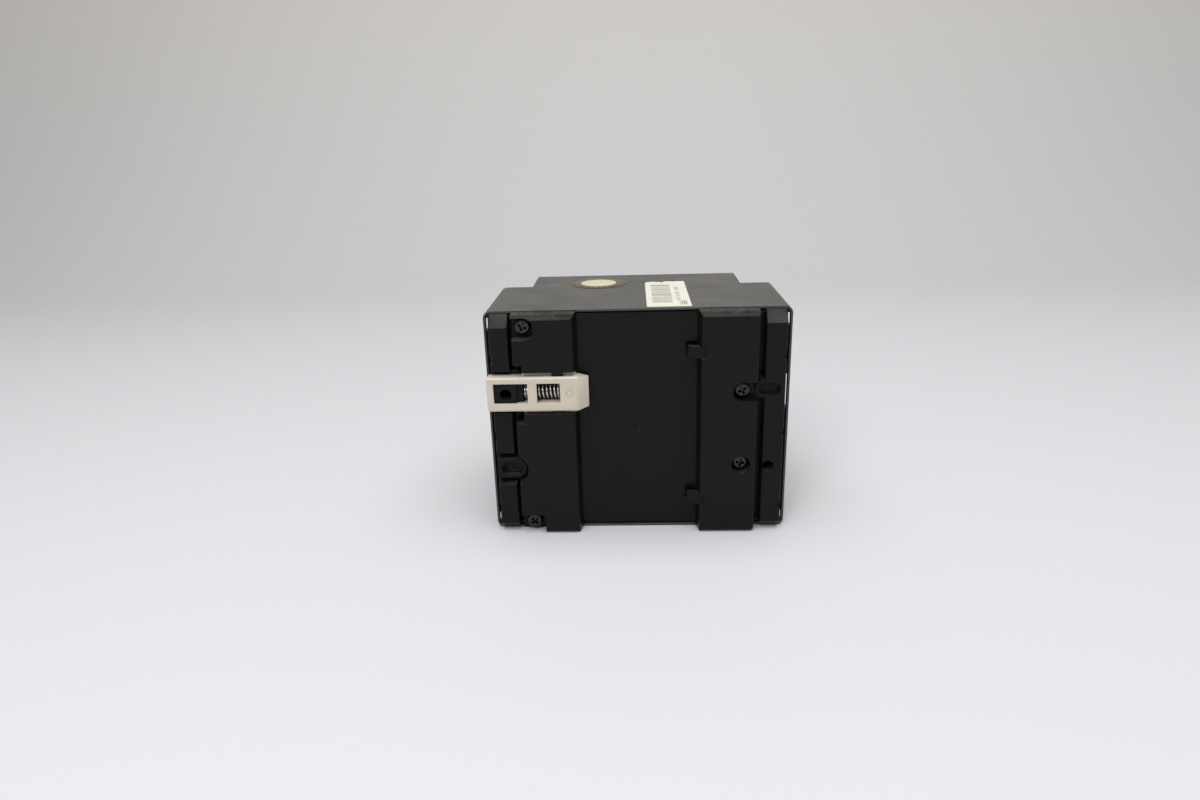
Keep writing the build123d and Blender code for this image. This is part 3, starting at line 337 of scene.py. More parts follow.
# %% Metal recipe
def metal(name, colour, roughness, stretch=(3000, 3000, 3000), line_depth=0.000002, stain=0.2,
          radius=0.00012):
    material, tree, shader = shader_of(name)
    edge = use_group(tree, edges, {"Radius": radius, "Break-up size": 0.0008})
    skin = use_group(tree, grain, {"Pit size": 0.0002, "Patch size": 0.006})
    along = add(tree, "Mapping", {"Vector": place(tree), "Scale": stretch})
    rolled = add(tree, "TexNoise", {"Vector": along.outputs[0], "Scale": 1.0, "Detail": 3.0,
                                    "Roughness": 0.6})
    stains = maths(tree, "MULTIPLY", skin["Patches"], stain)
    stained = mix_colour(tree, stains, rgba(colour), rgba(colour, 0.45))
    bright = mix_colour(tree, maths(tree, "MULTIPLY", edge["Wear"], 0.5), stained, rgba(colour, 1.3))
    tree.links.new(bright, shader.inputs["Base Color"])
    shader.inputs["Metallic"].default_value = 1.0
    streaks = ramp(tree, rolled.outputs[0], 0.3, 0.7, roughness - 0.07, roughness + 0.09)
    patchy = maths(tree, "ADD", streaks, maths(tree, "MULTIPLY", skin["Patches"], 0.12))
    tree.links.new(patchy, shader.inputs["Roughness"])
    bump = add(tree, "Bump", {"Height": rolled.outputs[0], "Normal": edge["Normal"], "Strength": 0.5,
                              "Distance": line_depth})
    tree.links.new(bump.outputs[0], shader.inputs["Normal"])
    return material


black_zinc = metal("Black zinc steel", (0.052, 0.052, 0.054), 0.11, stain=0.5)
bright_zinc = metal("Bright zinc steel", (0.66, 0.66, 0.63), 0.28)
spring_steel = metal("Drawn spring wire", (0.74, 0.72, 0.67), 0.22, stretch=(900, 4000, 4000), stain=0.3)
tinned_brass = metal("Tinned brass", (0.70, 0.68, 0.61), 0.3, stretch=(500, 5000, 5000))
nickel_iron = metal("Nickel-plated iron", (0.60, 0.58, 0.54), 0.32)
contact_alloy = metal("Contact alloy", (0.78, 0.60, 0.36), 0.22)
can_metal = metal("Stamped can", (0.74, 0.73, 0.71), 0.25, stretch=(6000, 300, 6000))
ferrite = metal("Transformer laminations", (0.20, 0.19, 0.18), 0.5, stretch=(80, 80, 3500),
                line_depth=0.00002)
print("metals", black_zinc.name, bright_zinc.name, spring_steel.name)

# %% [markdown]
# ## Enamelled winding and yellow tape
#
# A relay's winding shows rows of wire. A Wave texture along X, turned into bump and colour, draws them as
# bands with no extra mesh; in the colour the dark bands are painted shade between the turns and the light
# bands a painted highlight on each turn. The bands are about 1.6 mm apart, coarser than real wire. The tape
# on the transformer uses the same recipe with bands about 35 mm apart.


# %% Windings
def winding(name, colour, painted_shade, wave_scale, roughness):
    """A Wave texture of scale 1 draws about 3.2 bands in a metre."""
    material, tree, shader = shader_of(name)
    turns = add(tree, "TexWave", {"Vector": place(tree), "Scale": wave_scale, "Distortion": 0.6,
                                  "Detail": 1.0}, bands_direction="X")
    # painted shade between the turns and a painted highlight along each turn
    shaded_turns = mix_colour(tree, turns.outputs["Fac"], rgba(painted_shade), rgba(colour))
    tree.links.new(shaded_turns, shader.inputs["Base Color"])
    shader.inputs["Roughness"].default_value = roughness
    bump = add(tree, "Bump", {"Height": turns.outputs["Fac"], "Strength": 0.8, "Distance": 0.00006})
    tree.links.new(bump.outputs[0], shader.inputs["Normal"])
    return material


copper_wire = winding("Enamelled copper wire", (0.62, 0.24, 0.08), (0.16, 0.04, 0.01), 199.8981, 0.3)
coil_tape = winding("Yellow coil tape", (0.74, 0.55, 0.08), (0.50, 0.34, 0.04), 8.99542, 0.35)
print("windings", copper_wire.name, coil_tape.name)

# %% [markdown]
# ## Circuit board
#
# Solder resist is a glossy green film over copper tracks. The tracks are the mortar lines of a Brick
# texture seen from the side of the board, laid twice at different sizes so that they don't repeat, and they
# stand up a little.

# %% Board laminate
board_laminate, tree, shader = shader_of("Board laminate")
flat = add(tree, "Mapping", {"Vector": place(tree), "Rotation": (pi / 2, 0, 0)})
tracks = None
for scale, offset, width in ((260.0, 0.5, 0.03), (410.0, 0.27, 0.02)):
    lanes = add(tree, "TexBrick", {"Vector": flat.outputs[0], "Scale": scale, "Mortar Size": width,
                                   "Mortar Smooth": 0.1, "Brick Width": 1.7, "Row Height": 0.42},
                offset=offset)
    lane = lanes.outputs["Fac"]
    tracks = lane if tracks is None else maths(tree, "MAXIMUM", tracks, lane)
resist = mix_colour(tree, tracks, (0.012, 0.085, 0.035, 1), (0.03, 0.19, 0.07, 1))
tree.links.new(resist, shader.inputs["Base Color"])
shader.inputs["Roughness"].default_value = 0.22
bump = add(tree, "Bump", {"Height": tracks, "Strength": 0.6, "Distance": 0.00004})
tree.links.new(bump.outputs[0], shader.inputs["Normal"])
print("board laminate ready")

# %% [markdown]
# ## Lens, glass and indicators
#
# The smoked lens and the fuse are clear materials: Transmission is 1 and the tint is in the colour. The
# lens is a little frosted, as a moulded window is. The indicators are green resin, paler towards the tip.


# %% Clear materials
def clear(name, colour, roughness):
    material, tree, shader = shader_of(name)
    skin = use_group(tree, grain, {"Pit size": 0.0004, "Patch size": 0.01})
    frosted = ramp(tree, skin["Patches"], 0.3, 0.7, roughness, roughness + 0.06)
    tree.links.new(frosted, shader.inputs["Roughness"])
    shader.inputs["Base Color"].default_value = rgba(colour)
    shader.inputs["Transmission Weight"].default_value = 1.0
    shader.inputs["IOR"].default_value = 1.5
    return material


smoked_lens = clear("Smoked lens", (0.42, 0.36, 0.33), 0.08)
fuse_glass = clear("Fuse glass", (0.93, 0.95, 0.94), 0.03)

led_resin, tree, shader = shader_of("Indicator resin")
depth_in = xyz(tree)[1]
led_low, led_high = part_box("status_leds")
tip = ramp(tree, depth_in, led_low.y, led_high.y)
resin = mix_colour(tree, tip, (0.10, 0.32, 0.10, 1), (0.28, 0.72, 0.24, 1))
tree.links.new(resin, shader.inputs["Base Color"])
shader.inputs["Roughness"].default_value = 0.18
print("clear materials ready")

# %% [markdown]
# ## Printed labels
#
# The cream paper label has a block of fine bars and a few short marks beside it. Bars are a one-dimensional
# noise cut at a threshold: it depends on one coordinate only, so every bar runs straight across its block.
# Nothing is readable.

# %% Paper label
label_low, label_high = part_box("serial_label")
label_size = label_high - label_low
label_paper, tree, shader = shader_of("Cream paper label")
x, y, _ = xyz(tree)
across = ramp(tree, x, label_low.x, label_high.x)
along = ramp(tree, y, label_low.y, label_high.y)
fibres = add(tree, "TexNoise", {"Vector": place(tree), "Scale": 900.0, "Detail": 6.0, "Roughness": 0.7})
aged = add(tree, "TexNoise", {"Vector": place(tree), "Scale": 110.0, "Detail": 3.0})
paper = mix_colour(tree, fibres.outputs[0], (0.66, 0.64, 0.52, 1), (0.74, 0.73, 0.63, 1))
paper = mix_colour(tree, ramp(tree, aged.outputs[0], 0.5, 0.8, 0.0, 0.5), paper, (0.62, 0.55, 0.38, 1))


def printed(coordinate, lines_per_length, threshold):
    """Uneven lines across a coordinate that runs from 0 to 1."""
    noise = add(tree, "TexNoise", {"W": coordinate, "Scale": lines_per_length, "Detail": 0.0},
                noise_dimensions="1D")
    return ramp(tree, noise.outputs[0], threshold, threshold + 0.04)


bar_block = block(tree, across, (0.14, 0.60), 0.01, along, (0.14, 0.86), 0.004)
bars = maths(tree, "MULTIPLY", bar_block, printed(along, 46.0, 0.49))
mark_block = block(tree, across, (0.70, 0.80), 0.01, along, (0.22, 0.80), 0.004)
marks = maths(tree, "MULTIPLY", mark_block, printed(along, 30.0, 0.52))
corner_block = block(tree, across, (0.74, 0.92), 0.01, along, (0.06, 0.2), 0.004)
corner_marks = maths(tree, "MULTIPLY", corner_block, printed(across, 24.0, 0.5))
ink = maths(tree, "MAXIMUM", bars, maths(tree, "MAXIMUM", marks, corner_marks))
faded = maths(tree, "MULTIPLY", ink, ramp(tree, fibres.outputs[0], 0.25, 0.6, 0.55, 0.85))
inked = mix_colour(tree, faded, paper, (0.11, 0.11, 0.12, 1))
torn = maths(tree, "MULTIPLY", ramp(tree, along, 0.93, 0.99), ramp(tree, fibres.outputs[0], 0.35, 0.55))
tree.links.new(mix_colour(tree, torn, inked, (0.86, 0.85, 0.82, 1)), shader.inputs["Base Color"])
shader.inputs["Roughness"].default_value = 0.62
bump = add(tree, "Bump", {"Height": fibres.outputs[0], "Strength": 0.3, "Distance": 0.00001})
tree.links.new(bump.outputs[0], shader.inputs["Normal"])
print("paper label ready")

# %% [markdown]
# The round seal has a plain cream centre and a bronze ring of short dashes on a dark film. It is drawn in
# polar coordinates: the distance from the centre picks the ring, and a sine of the angle cuts the ring into
# dashes.

# %% Round seal
seal_low, seal_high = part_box("seal_label")
seal_centre = (seal_low + seal_high) / 2
seal_radius = (seal_high.x - seal_low.x) / 2
seal_film, tree, shader = shader_of("Seal film")
x, y, _ = xyz(tree)
from_x = maths(tree, "SUBTRACT", x, seal_centre.x)
from_y = maths(tree, "SUBTRACT", y, seal_centre.y)
squares = maths(tree, "ADD", maths(tree, "MULTIPLY", from_x, from_x), maths(tree, "MULTIPLY", from_y, from_y))
distance = maths(tree, "DIVIDE", maths(tree, "SQRT", squares), seal_radius)
angle = maths(tree, "ARCTAN2", from_y, from_x)
dashes = ramp(tree, maths(tree, "SINE", maths(tree, "MULTIPLY", angle, 26.0)), -0.1, 0.25)
fine = maths(tree, "SINE", maths(tree, "MULTIPLY", angle, 90.0))
ring = maths(tree, "MULTIPLY", between(tree, distance, 0.70, 0.86, 0.012), dashes)
thin_ring = between(tree, distance, 0.93, 0.955, 0.008)
inner_ring = maths(tree, "MULTIPLY", between(tree, distance, 0.655, 0.68, 0.008), ramp(tree, fine, -0.4, 0.4))
rub = add(tree, "TexNoise", {"Vector": place(tree), "Scale": 420.0, "Detail": 5.0, "Roughness": 0.7})
bronze = maths(tree, "MAXIMUM", ring, maths(tree, "MAXIMUM", thin_ring, inner_ring))
bronze = maths(tree, "MULTIPLY", bronze, ramp(tree, rub.outputs[0], 0.3, 0.5, 0.35, 1.0))
film = mix_colour(tree, bronze, (0.035, 0.029, 0.025, 1), (0.30, 0.15, 0.06, 1))
centre = between(tree, distance, -1.0, 0.63, 0.008)
cream = mix_colour(tree, rub.outputs[0], (0.51, 0.50, 0.33, 1), (0.60, 0.59, 0.43, 1))
tree.links.new(mix_colour(tree, centre, film, cream), shader.inputs["Base Color"])
tree.links.new(ramp(tree, centre, 0.0, 1.0, 0.42, 0.55), shader.inputs["Roughness"])
print("seal ready, radius", round(seal_radius / MM, 2), "mm")

# %% [markdown]
# The front label is a printed film: a graphite field with a pale frame, a header band and a wiring
# pictogram made of plain lines. It is only generic line art.

# %% Front label
front_low, front_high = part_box("front_label")
label_film, tree, shader = shader_of("Printed front film")
x, _, z = xyz(tree)
u = ramp(tree, x, front_high.x, front_low.x)
v = ramp(tree, z, front_low.z, front_high.z)
frame_in = block(tree, u, (0.035, 0.965), 0.002, v, (0.026, 0.974), 0.0015)
frame_out = block(tree, u, (0.022, 0.978), 0.002, v, (0.0165, 0.9835), 0.0015)
outline = maths(tree, "SUBTRACT", frame_out, frame_in)
header = block(tree, u, (0.07, 0.93), 0.002, v, (0.84, 0.94), 0.002)
rows = maths(tree, "SINE", maths(tree, "MULTIPLY", v, 2 * pi * 10))
row_lines = between(tree, rows, 0.97, 1.1, 0.01)
columns = maths(tree, "SINE", maths(tree, "MULTIPLY", u, 2 * pi * 7))
column_lines = between(tree, columns, 0.985, 1.1, 0.008)
grid_area = block(tree, u, (0.1, 0.9), 0.002, v, (0.12, 0.76), 0.002)
grid = maths(tree, "MULTIPLY", maths(tree, "MAXIMUM", row_lines, column_lines), grid_area)
dots = block(tree, rows, (0.75, 1.1), 0.05, columns, (0.75, 1.1), 0.05)
pads = maths(tree, "MULTIPLY", dots, grid_area)
art = maths(tree, "MAXIMUM", outline, maths(tree, "MAXIMUM", grid, pads))
field = mix_colour(tree, art, (0.07, 0.075, 0.08, 1), (0.60, 0.61, 0.60, 1))
tree.links.new(mix_colour(tree, header, field, (0.16, 0.30, 0.34, 1)), shader.inputs["Base Color"])
orange_peel = add(tree, "TexNoise", {"Vector": place(tree), "Scale": 1500.0, "Detail": 2.0})
bump = add(tree, "Bump", {"Height": orange_peel.outputs[0], "Strength": 0.2, "Distance": 0.00001})
tree.links.new(bump.outputs[0], shader.inputs["Normal"])
shader.inputs["Roughness"].default_value = 0.33
print("front label ready")

# %% [markdown]
# ## Finishes on the CAD parts
#
# Every CAD part has a slot name in the record. One table goes from slot to finish, so each part takes its
# material in one loop.

# %% Assign finishes
FINISHES = {
    "case_plastic": case_plastic,
    "base_plastic": base_plastic,
    "slider_plastic": slider_plastic,
    "block_plastic": block_plastic,
    "label_paper": label_paper,
    "seal_film": seal_film,
    "label_film": label_film,
    "smoked_lens": smoked_lens,
    "black_steel": black_zinc,
    "zinc_steel": bright_zinc,
    "spring_steel": spring_steel,
    "tinned_brass": tinned_brass,
    "nickel_iron": nickel_iron,
    "contact_alloy": contact_alloy,
    "copper_wire": copper_wire,
    "coil_tape": coil_tape,
    "relay_plastic": relay_plastic,
    "bobbin_plastic": bobbin_plastic,
    "board_laminate": board_laminate,
    "chip_epoxy": chip_epoxy,
    "capacitor_sleeve": sleeve_plastic,
    "varistor_coat": varistor_coat,
    "ferrite": ferrite,
    "fuse_glass": fuse_glass,
    "led_resin": led_resin,
    "can_metal": can_metal,
}
for part in record["subparts"]:
    mesh = nodes[part["node"]].data
    mesh.materials.clear()
    mesh.materials.append(FINISHES[part["material_slot"]])
print("finished", len(record["subparts"]), "parts")

# %% [markdown]
# ## Helpers for modelling
#
# New pieces are made with the same operators that a person uses in the viewport. Each helper selects by
# place or direction, because with no mouse the selection has to be worked out.


# %% Modelling helpers
def start_edit(mode="FACE"):
    bpy.ops.object.mode_set(mode="EDIT")
    bpy.ops.mesh.select_mode(type=mode)
    bpy.ops.mesh.select_all(action="DESELECT")
    bpy.ops.object.mode_set(mode="OBJECT")


def choose_faces(piece, test):
    """Leaves edit mode on with exactly the faces that pass the test selected."""
    start_edit("FACE")
    for face in piece.data.polygons:
        face.select = test(face)
    bpy.ops.object.mode_set(mode="EDIT")


def choose_edges(piece, test):
    """Leaves edit mode on with exactly the edges that pass the test selected. The test gets both ends."""
    start_edit("EDGE")
    points = piece.data.vertices
    for edge in piece.data.edges:
        edge.select = test(points[edge.vertices[0]].co, points[edge.vertices[1]].co)
    bpy.ops.object.mode_set(mode="EDIT")


def end_edit():
    bpy.ops.object.mode_set(mode="OBJECT")


def settle(piece):
    """Moves the object's place, turn and scale into its mesh."""
    bpy.ops.object.select_all(action="DESELECT")
    piece.select_set(True)
    bpy.context.view_layer.objects.active = piece
    bpy.ops.object.transform_apply(location=True, rotation=True, scale=True)


def apply_all(piece):
    bpy.ops.object.select_all(action="DESELECT")
    piece.select_set(True)
    bpy.context.view_layer.objects.active = piece
    for modifier in list(piece.modifiers):
        bpy.ops.object.modifier_apply(modifier=modifier.name)


def smooth(piece, degrees=35):
    bpy.ops.object.select_all(action="DESELECT")
    piece.select_set(True)
    bpy.context.view_layer.objects.active = piece
    bpy.ops.object.shade_smooth_by_angle(angle=radians(degrees))


def finish_piece(piece, name, slot, body, *replaced):
    """Names a piece, gives it its finish and ties it to its body."""
    piece.name = piece.data.name = name
    piece.data.materials.clear()
    piece.data.materials.append(FINISHES[slot])
    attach(piece, body)
    if replaced:
        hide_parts(*replaced)


def copy_of(piece, shift):
    """A copy with its own mesh, moved by shift."""
    twin = piece.copy()
    twin.data = piece.data.copy()
    bpy.context.collection.objects.link(twin)
    twin.location = shift
    settle(twin)
    return twin


print("modelling helpers ready")

# %% [markdown]
# ## Screws
#
# A pan head is a low cylinder with a generous bevel round its top. The crossed recess is cut with two
# booleans, each by a thin blade that narrows towards its tip. One screw is modelled for each set at the
# origin, head up, then copied to each hole and turned to its direction.


# %% Screw model
BLADE_WIDTH_SHARE, BLADE_TIP_SHARE = 0.29, 0.45
DRIVE_START, DRIVE_STEP = 8, 37


def tapered_blade(length, width, depth, quarter_turn):
    """A blade that narrows towards its tip, with its top above the head."""
    bpy.ops.mesh.primitive_cube_add(size=1)
    blade = bpy.context.object
    blade.scale = (length, width, depth)
    blade.rotation_euler.z = pi / 2 if quarter_turn else 0
    settle(blade)
    choose_faces(blade, lambda face: face.normal.z < -0.9)
    bpy.ops.transform.resize(value=(BLADE_TIP_SHARE, BLADE_TIP_SHARE, 1))
    end_edit()
    return blade


def pan_screw(head_radius, head_height, shank_radius, shank_length, recess):
    bpy.ops.mesh.primitive_cylinder_add(vertices=40, radius=head_radius, depth=head_height,
                                        location=(0, 0, head_height / 2))
    screw = bpy.context.object
    settle(screw)
    top = head_height
    choose_edges(screw, lambda a, b: a.z > top * 0.99 and b.z > top * 0.99)
    bpy.ops.mesh.bevel(offset=head_height * 0.55, segments=5, profile=0.6)
    end_edit()
    # the flat under the head is inset and drawn down to make the shank
    choose_faces(screw, lambda face: face.normal.z < -0.9)
    bpy.ops.mesh.inset(thickness=head_radius - shank_radius)
    bpy.ops.mesh.extrude_region_move(TRANSFORM_OT_translate={"value": (0, 0, -shank_length)})
    bpy.ops.mesh.bevel(offset=shank_radius * 0.4, segments=2)
    end_edit()
    for quarter_turn in (False, True):
        blade = tapered_blade(recess, recess * BLADE_WIDTH_SHARE, head_height * 1.3, quarter_turn)
        blade.location.z = top + head_height * 0.05
        settle(blade)
        cut = screw.modifiers.new("Recess", "BOOLEAN")
        cut.operation = "DIFFERENCE"
        cut.object = blade
        cut.solver = "EXACT"
        apply_all(screw)
        bpy.data.objects.remove(blade)
    smooth(screw)
    return screw


def set_screws(model, node, turn_x, seat_y, places, slot):
    """Puts one copy in each place, each driven home to an angle of its own, and turns it to its direction."""
    for number, (place_x, place_z) in enumerate(places, 1):
        screw = copy_of(model, (0, 0, 0))
        screw.rotation_euler.z = radians(DRIVE_STEP * number + DRIVE_START)
        settle(screw)
        screw.rotation_euler.x = turn_x
        screw.location = (place_x, seat_y, place_z)
        settle(screw)
        finish_piece(screw, f"{node}_{number}", slot, "module", node)
    bpy.data.objects.remove(model)
    print(node, len(places), "screws, seat at", round(seat_y / MM, 2), "mm")


def islands(node):
    """Centres of a node's separate solids, found by grouping vertices that share faces."""
    mesh = nodes[node].data
    keys = [tuple(round(c, 6) for c in v.co) for v in mesh.vertices]
    parent = {key: key for key in keys}

    def root(key):
        while parent[key] != key:
            parent[key] = parent[parent[key]]
            key = parent[key]
        return key

    for face in mesh.polygons:
        first = root(keys[face.vertices[0]])
        for index in face.vertices[1:]:
            parent[root(keys[index])] = first
    groups = {}
    for key in set(keys):
        groups.setdefault(root(key), []).append(Vector(key))
    boxes = []
    for points in groups.values():
        low = Vector([min(p[i] for p in points) for i in range(3)])
        high = Vector([max(p[i] for p in points) for i in range(3)])
        boxes.append((low, high))
    return sorted(boxes, key=lambda pair: (round(pair[0].z, 5), round(pair[0].x, 5)))


# %% Case screws
boxes = islands("case_screws")
CASE_HEAD_HEIGHT, CASE_SHANK_RADIUS, CASE_RECESS = 1.9 * MM, 1.3 * MM, 3.7 * MM
case_seat = boxes[0][0].y + CASE_HEAD_HEIGHT
low, high = boxes[0]
shank_length = high.y - case_seat
model = pan_screw((high.x - low.x) / 2, CASE_HEAD_HEIGHT, CASE_SHANK_RADIUS, shank_length, CASE_RECESS)
places = [((low.x + high.x) / 2, (low.z + high.z) / 2) for low, high in boxes]
set_screws(model, "case_screws", pi / 2, case_seat, places, "black_steel")

# %% Terminal screws
TERMINAL_HEAD_HEIGHT, TERMINAL_SHANK_RADIUS, TERMINAL_RECESS = 2.0 * MM, 1.35 * MM, 3.5 * MM
for end in ("top", "bottom"):
    boxes = islands(f"terminal_screws_{end}")
    low, high = boxes[0]
    seat = high.y - TERMINAL_HEAD_HEIGHT
    model = pan_screw((high.x - low.x) / 2, TERMINAL_HEAD_HEIGHT, TERMINAL_SHANK_RADIUS, seat - low.y,
                      TERMINAL_RECESS)
    places = [((low.x + high.x) / 2, (low.z + high.z) / 2) for low, high in boxes]
    set_screws(model, f"terminal_screws_{end}", -pi / 2, seat, places, "zinc_steel")

# %% [markdown]
# ## Slider spring
#
# The spring is wound wire. A small circle is the wire's section, and the Screw modifier turns it round the
# axis while it moves along, which is how a coiling machine works. The real spring is squashed towards the
# fixed post as the slider is pulled; this one is a single rigid piece on the module.

# %% Slider spring
spring_low, spring_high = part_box("slider_spring")
spring_centre = (spring_low + spring_high) / 2
WIRE = 0.55 * MM
LIVE_TURNS = 8
DEAD_PITCH = 1.02  # in wires: the end turns lie against their neighbours
outer_radius = (spring_high.z - spring_low.z) / 2
coil_radius = outer_radius - WIRE / 2


def wound(start_x, length, turns):
    """One stretch of the coil along X."""
    bpy.ops.mesh.primitive_circle_add(vertices=10, radius=WIRE / 2, rotation=(pi / 2, 0, 0),
                                      location=(0, 0, 0))
    coil = bpy.context.object
    settle(coil)
    bpy.ops.object.mode_set(mode="EDIT")
    bpy.ops.mesh.select_all(action="SELECT")
    bpy.ops.transform.translate(value=(0, 0, coil_radius))
    bpy.ops.object.mode_set(mode="OBJECT")
    screw = coil.modifiers.new("Winding", "SCREW")
    screw.axis = "X"
    screw.angle = 2 * pi
    screw.screw_offset = length / turns
    screw.iterations = turns
    screw.steps = screw.render_steps = 28
    screw.use_merge_vertices = False
    apply_all(coil)
    coil.location = (start_x, spring_centre.y, spring_centre.z)
    settle(coil)
    return coil


first_x = spring_low.x + WIRE / 2
last_x = spring_high.x - WIRE / 2
dead = WIRE * DEAD_PITCH
parts = [wound(first_x, dead, 1), wound(first_x + dead, last_x - first_x - 2 * dead, LIVE_TURNS),
         wound(last_x - dead, dead, 1)]
bpy.ops.object.select_all(action="DESELECT")
for stretch in parts:
    stretch.select_set(True)
bpy.context.view_layer.objects.active = parts[0]
bpy.ops.object.join()
spring = bpy.context.object
bpy.ops.object.mode_set(mode="EDIT")
bpy.ops.mesh.select_all(action="SELECT")
bpy.ops.mesh.remove_doubles(threshold=HAIR)
bpy.ops.mesh.select_mode(type="EDGE")
bpy.ops.mesh.select_all(action="DESELECT")
bpy.ops.mesh.select_non_manifold()
bpy.ops.mesh.edge_face_add()
bpy.ops.mesh.select_all(action="SELECT")
bpy.ops.mesh.normals_make_consistent(inside=False)
bpy.ops.object.mode_set(mode="OBJECT")
smooth(spring, 60)
finish_piece(spring, "coiled_spring", "spring_steel", "module", "slider_spring")
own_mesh(spring)

# %% [markdown]
# ## Torn paper label
#
# The paper label was stuck over the seam and torn when the cover was opened, so its far end is ragged. A
# grid is cut to the label's size, its far row of points is pulled in by uneven amounts, and Solidify gives
# the paper its thickness.

# %% Paper label piece
bpy.ops.mesh.primitive_grid_add(x_subdivisions=30, y_subdivisions=8, size=1)
paper_label = bpy.context.object
paper_label.scale = (label_size.x, label_size.y, 1)
label_centre = (label_low + label_high) / 2
paper_label.location = (label_centre.x, label_centre.y, label_low.z + HAIR)
settle(paper_label)
far_edge = label_high.y - HAIR
TEAR_DEPTH = 2.4 * MM
TEARS = 7
for point in paper_label.data.vertices:
    if point.co.y > far_edge:
        share = (point.co.x - label_low.x) / label_size.x
        saw = abs((share * TEARS) % 1 - 0.5) * 2
        uneven = 0.55 + 0.45 * sin(share * 17.0 + 1.3)
        torn_side = 1.0 if share < 0.55 else 0.25
        point.co.y -= TEAR_DEPTH * saw * uneven * torn_side
thick = paper_label.modifiers.new("Paper", "SOLIDIFY")
thick.thickness = label_size.z - 2 * HAIR
thick.offset = 1
apply_all(paper_label)
finish_piece(paper_label, "paper_label", "label_paper", "module", "serial_label")
print("paper label", [round(v / MM, 2) for v in label_size])

# %% [markdown]
# ## Round seal
#
# The seal is a die-cut disc. A many-sided cylinder gets a fine bevel round its top edge, so its rim catches
# the light and it reads as a thing of its own rather than as paint.

# %% Round seal piece
bpy.ops.mesh.primitive_cylinder_add(vertices=96, radius=seal_radius, depth=seal_high.z - seal_low.z,
                                    location=seal_centre)
seal = bpy.context.object
settle(seal)
choose_edges(seal, lambda a, b: min(a.z, b.z) > seal_centre.z)
bpy.ops.mesh.bevel(offset=0.05 * MM, segments=2)
end_edit()
smooth(seal)
finish_piece(seal, "round_seal", "seal_film", "module", "seal_label")
print("round seal", len(seal.data.polygons), "faces")

# %% [markdown]
# ## Softened mouldings
#
# The lids and the slider are handled, so their rounded edges should be real. A copy of the CAD part is
# merged and cleaned to plain faces, and a Bevel modifier rounds each sharp edge before it is applied.


# %% Softened copies
SLIDER_EDGE, LID_EDGE, WELD = 0.22 * MM, 0.2 * MM, 0.002 * MM


def softened(node, name, slot, body, radius, segments=3):
    piece = nodes[node].copy()
    piece.data = nodes[node].data.copy()
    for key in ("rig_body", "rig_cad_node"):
        del piece[key]
    piece.parent = None
    bpy.context.collection.objects.link(piece)
    bpy.ops.object.select_all(action="DESELECT")
    piece.select_set(True)
    bpy.context.view_layer.objects.active = piece
    bpy.ops.object.mode_set(mode="EDIT")
    bpy.ops.mesh.select_all(action="SELECT")
    bpy.ops.mesh.remove_doubles(threshold=WELD)
    bpy.ops.mesh.dissolve_limited(angle_limit=radians(1.0))
    bpy.ops.object.mode_set(mode="OBJECT")
    rounding = piece.modifiers.new("Rounding", "BEVEL")
    rounding.width = radius
    rounding.segments = segments
    rounding.limit_method = "ANGLE"
    rounding.angle_limit = radians(40)
    rounding.use_clamp_overlap = True
    apply_all(piece)
    smooth(piece, 40)
    finish_piece(piece, name, slot, body, node)
    print(name, len(piece.data.polygons), "faces")


softened("din_slider", "rail_slider_moulding", "slider_plastic", "rail_slider", SLIDER_EDGE)
for end in ("top", "bottom"):
    softened(f"terminal_cover_{end}", f"terminal_lid_moulding_{end}", "case_plastic", f"terminal_lid_{end}",
             LID_EDGE)

# %% [markdown]
# ## Grip ribs on the terminal lids
#
# A lid is opened with a fingernail, so its outer edge carries a few low ribs. A rib is a cube with the four
# edges of its outer face bevelled, modelled once and repeated inwards by an Array modifier.

# %% Grip ribs
RIB_LENGTH, RIB_WIDTH, RIB_HEIGHT, RIB_PITCH, RIB_COUNT = 16 * MM, 0.7 * MM, 0.35 * MM, 1.3 * MM, 4
RIB_INSET = 2.2 * MM
for end, side in (("top", 1), ("bottom", -1)):
    lid_low, lid_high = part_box(f"terminal_cover_{end}")
    inner_x = side * (max(abs(lid_low.x), abs(lid_high.x)) - RIB_INSET)
    bpy.ops.mesh.primitive_cube_add(size=1)
    ribs = bpy.context.object
    ribs.scale = (RIB_WIDTH, RIB_HEIGHT, RIB_LENGTH)
    ribs.location = (inner_x, lid_high.y - RIB_HEIGHT / 2, (lid_low.z + lid_high.z) / 2)
    settle(ribs)
    choose_edges(ribs, lambda a, b: min(a.y, b.y) > lid_high.y - RIB_HEIGHT / 2)
    bpy.ops.mesh.bevel(offset=RIB_HEIGHT * 0.45, segments=3)
    end_edit()
    row = ribs.modifiers.new("Row", "ARRAY")
    row.count = RIB_COUNT
    row.use_relative_offset = False
    row.use_constant_offset = True
    row.constant_offset_displace = (-side * RIB_PITCH, 0, 0)
    apply_all(ribs)
    smooth(ribs)
    finish_piece(ribs, f"grip_ribs_{end}", "case_plastic", f"terminal_lid_{end}")
print("grip ribs", RIB_COUNT, "each")

# %% [markdown]
# ## Terminal and indicator numbers
#
# Plain white numbers stand on each lid, one over each terminal, and beside the indicator window. Each
# number is a text object turned to face the front and made into a mesh.

# %% Numbers
white_ink, tree, shader = shader_of("White marking ink")
rubbed = add(tree, "TexNoise", {"Vector": place(tree), "Scale": 1300.0, "Detail": 4.0, "Roughness": 0.7})
tree.links.new(mix_colour(tree, rubbed.outputs[0], (0.50, 0.50, 0.48, 1), (0.74, 0.74, 0.71, 1)),
               shader.inputs["Base Color"])
shader.inputs["Roughness"].default_value = 0.5


SIGN_HALF_DEPTH = 0.06 * MM
LID_SIGN_INSET, LID_SIGN_HEIGHT, LID_SIGN_SINK = 2.4 * MM, 2.4 * MM, 0.05 * MM
LENS_SIGN_GAP, LENS_SIGN_HEIGHT, LENS_SIGN_SINK = 1.5 * MM, 2.2 * MM, 0.04 * MM


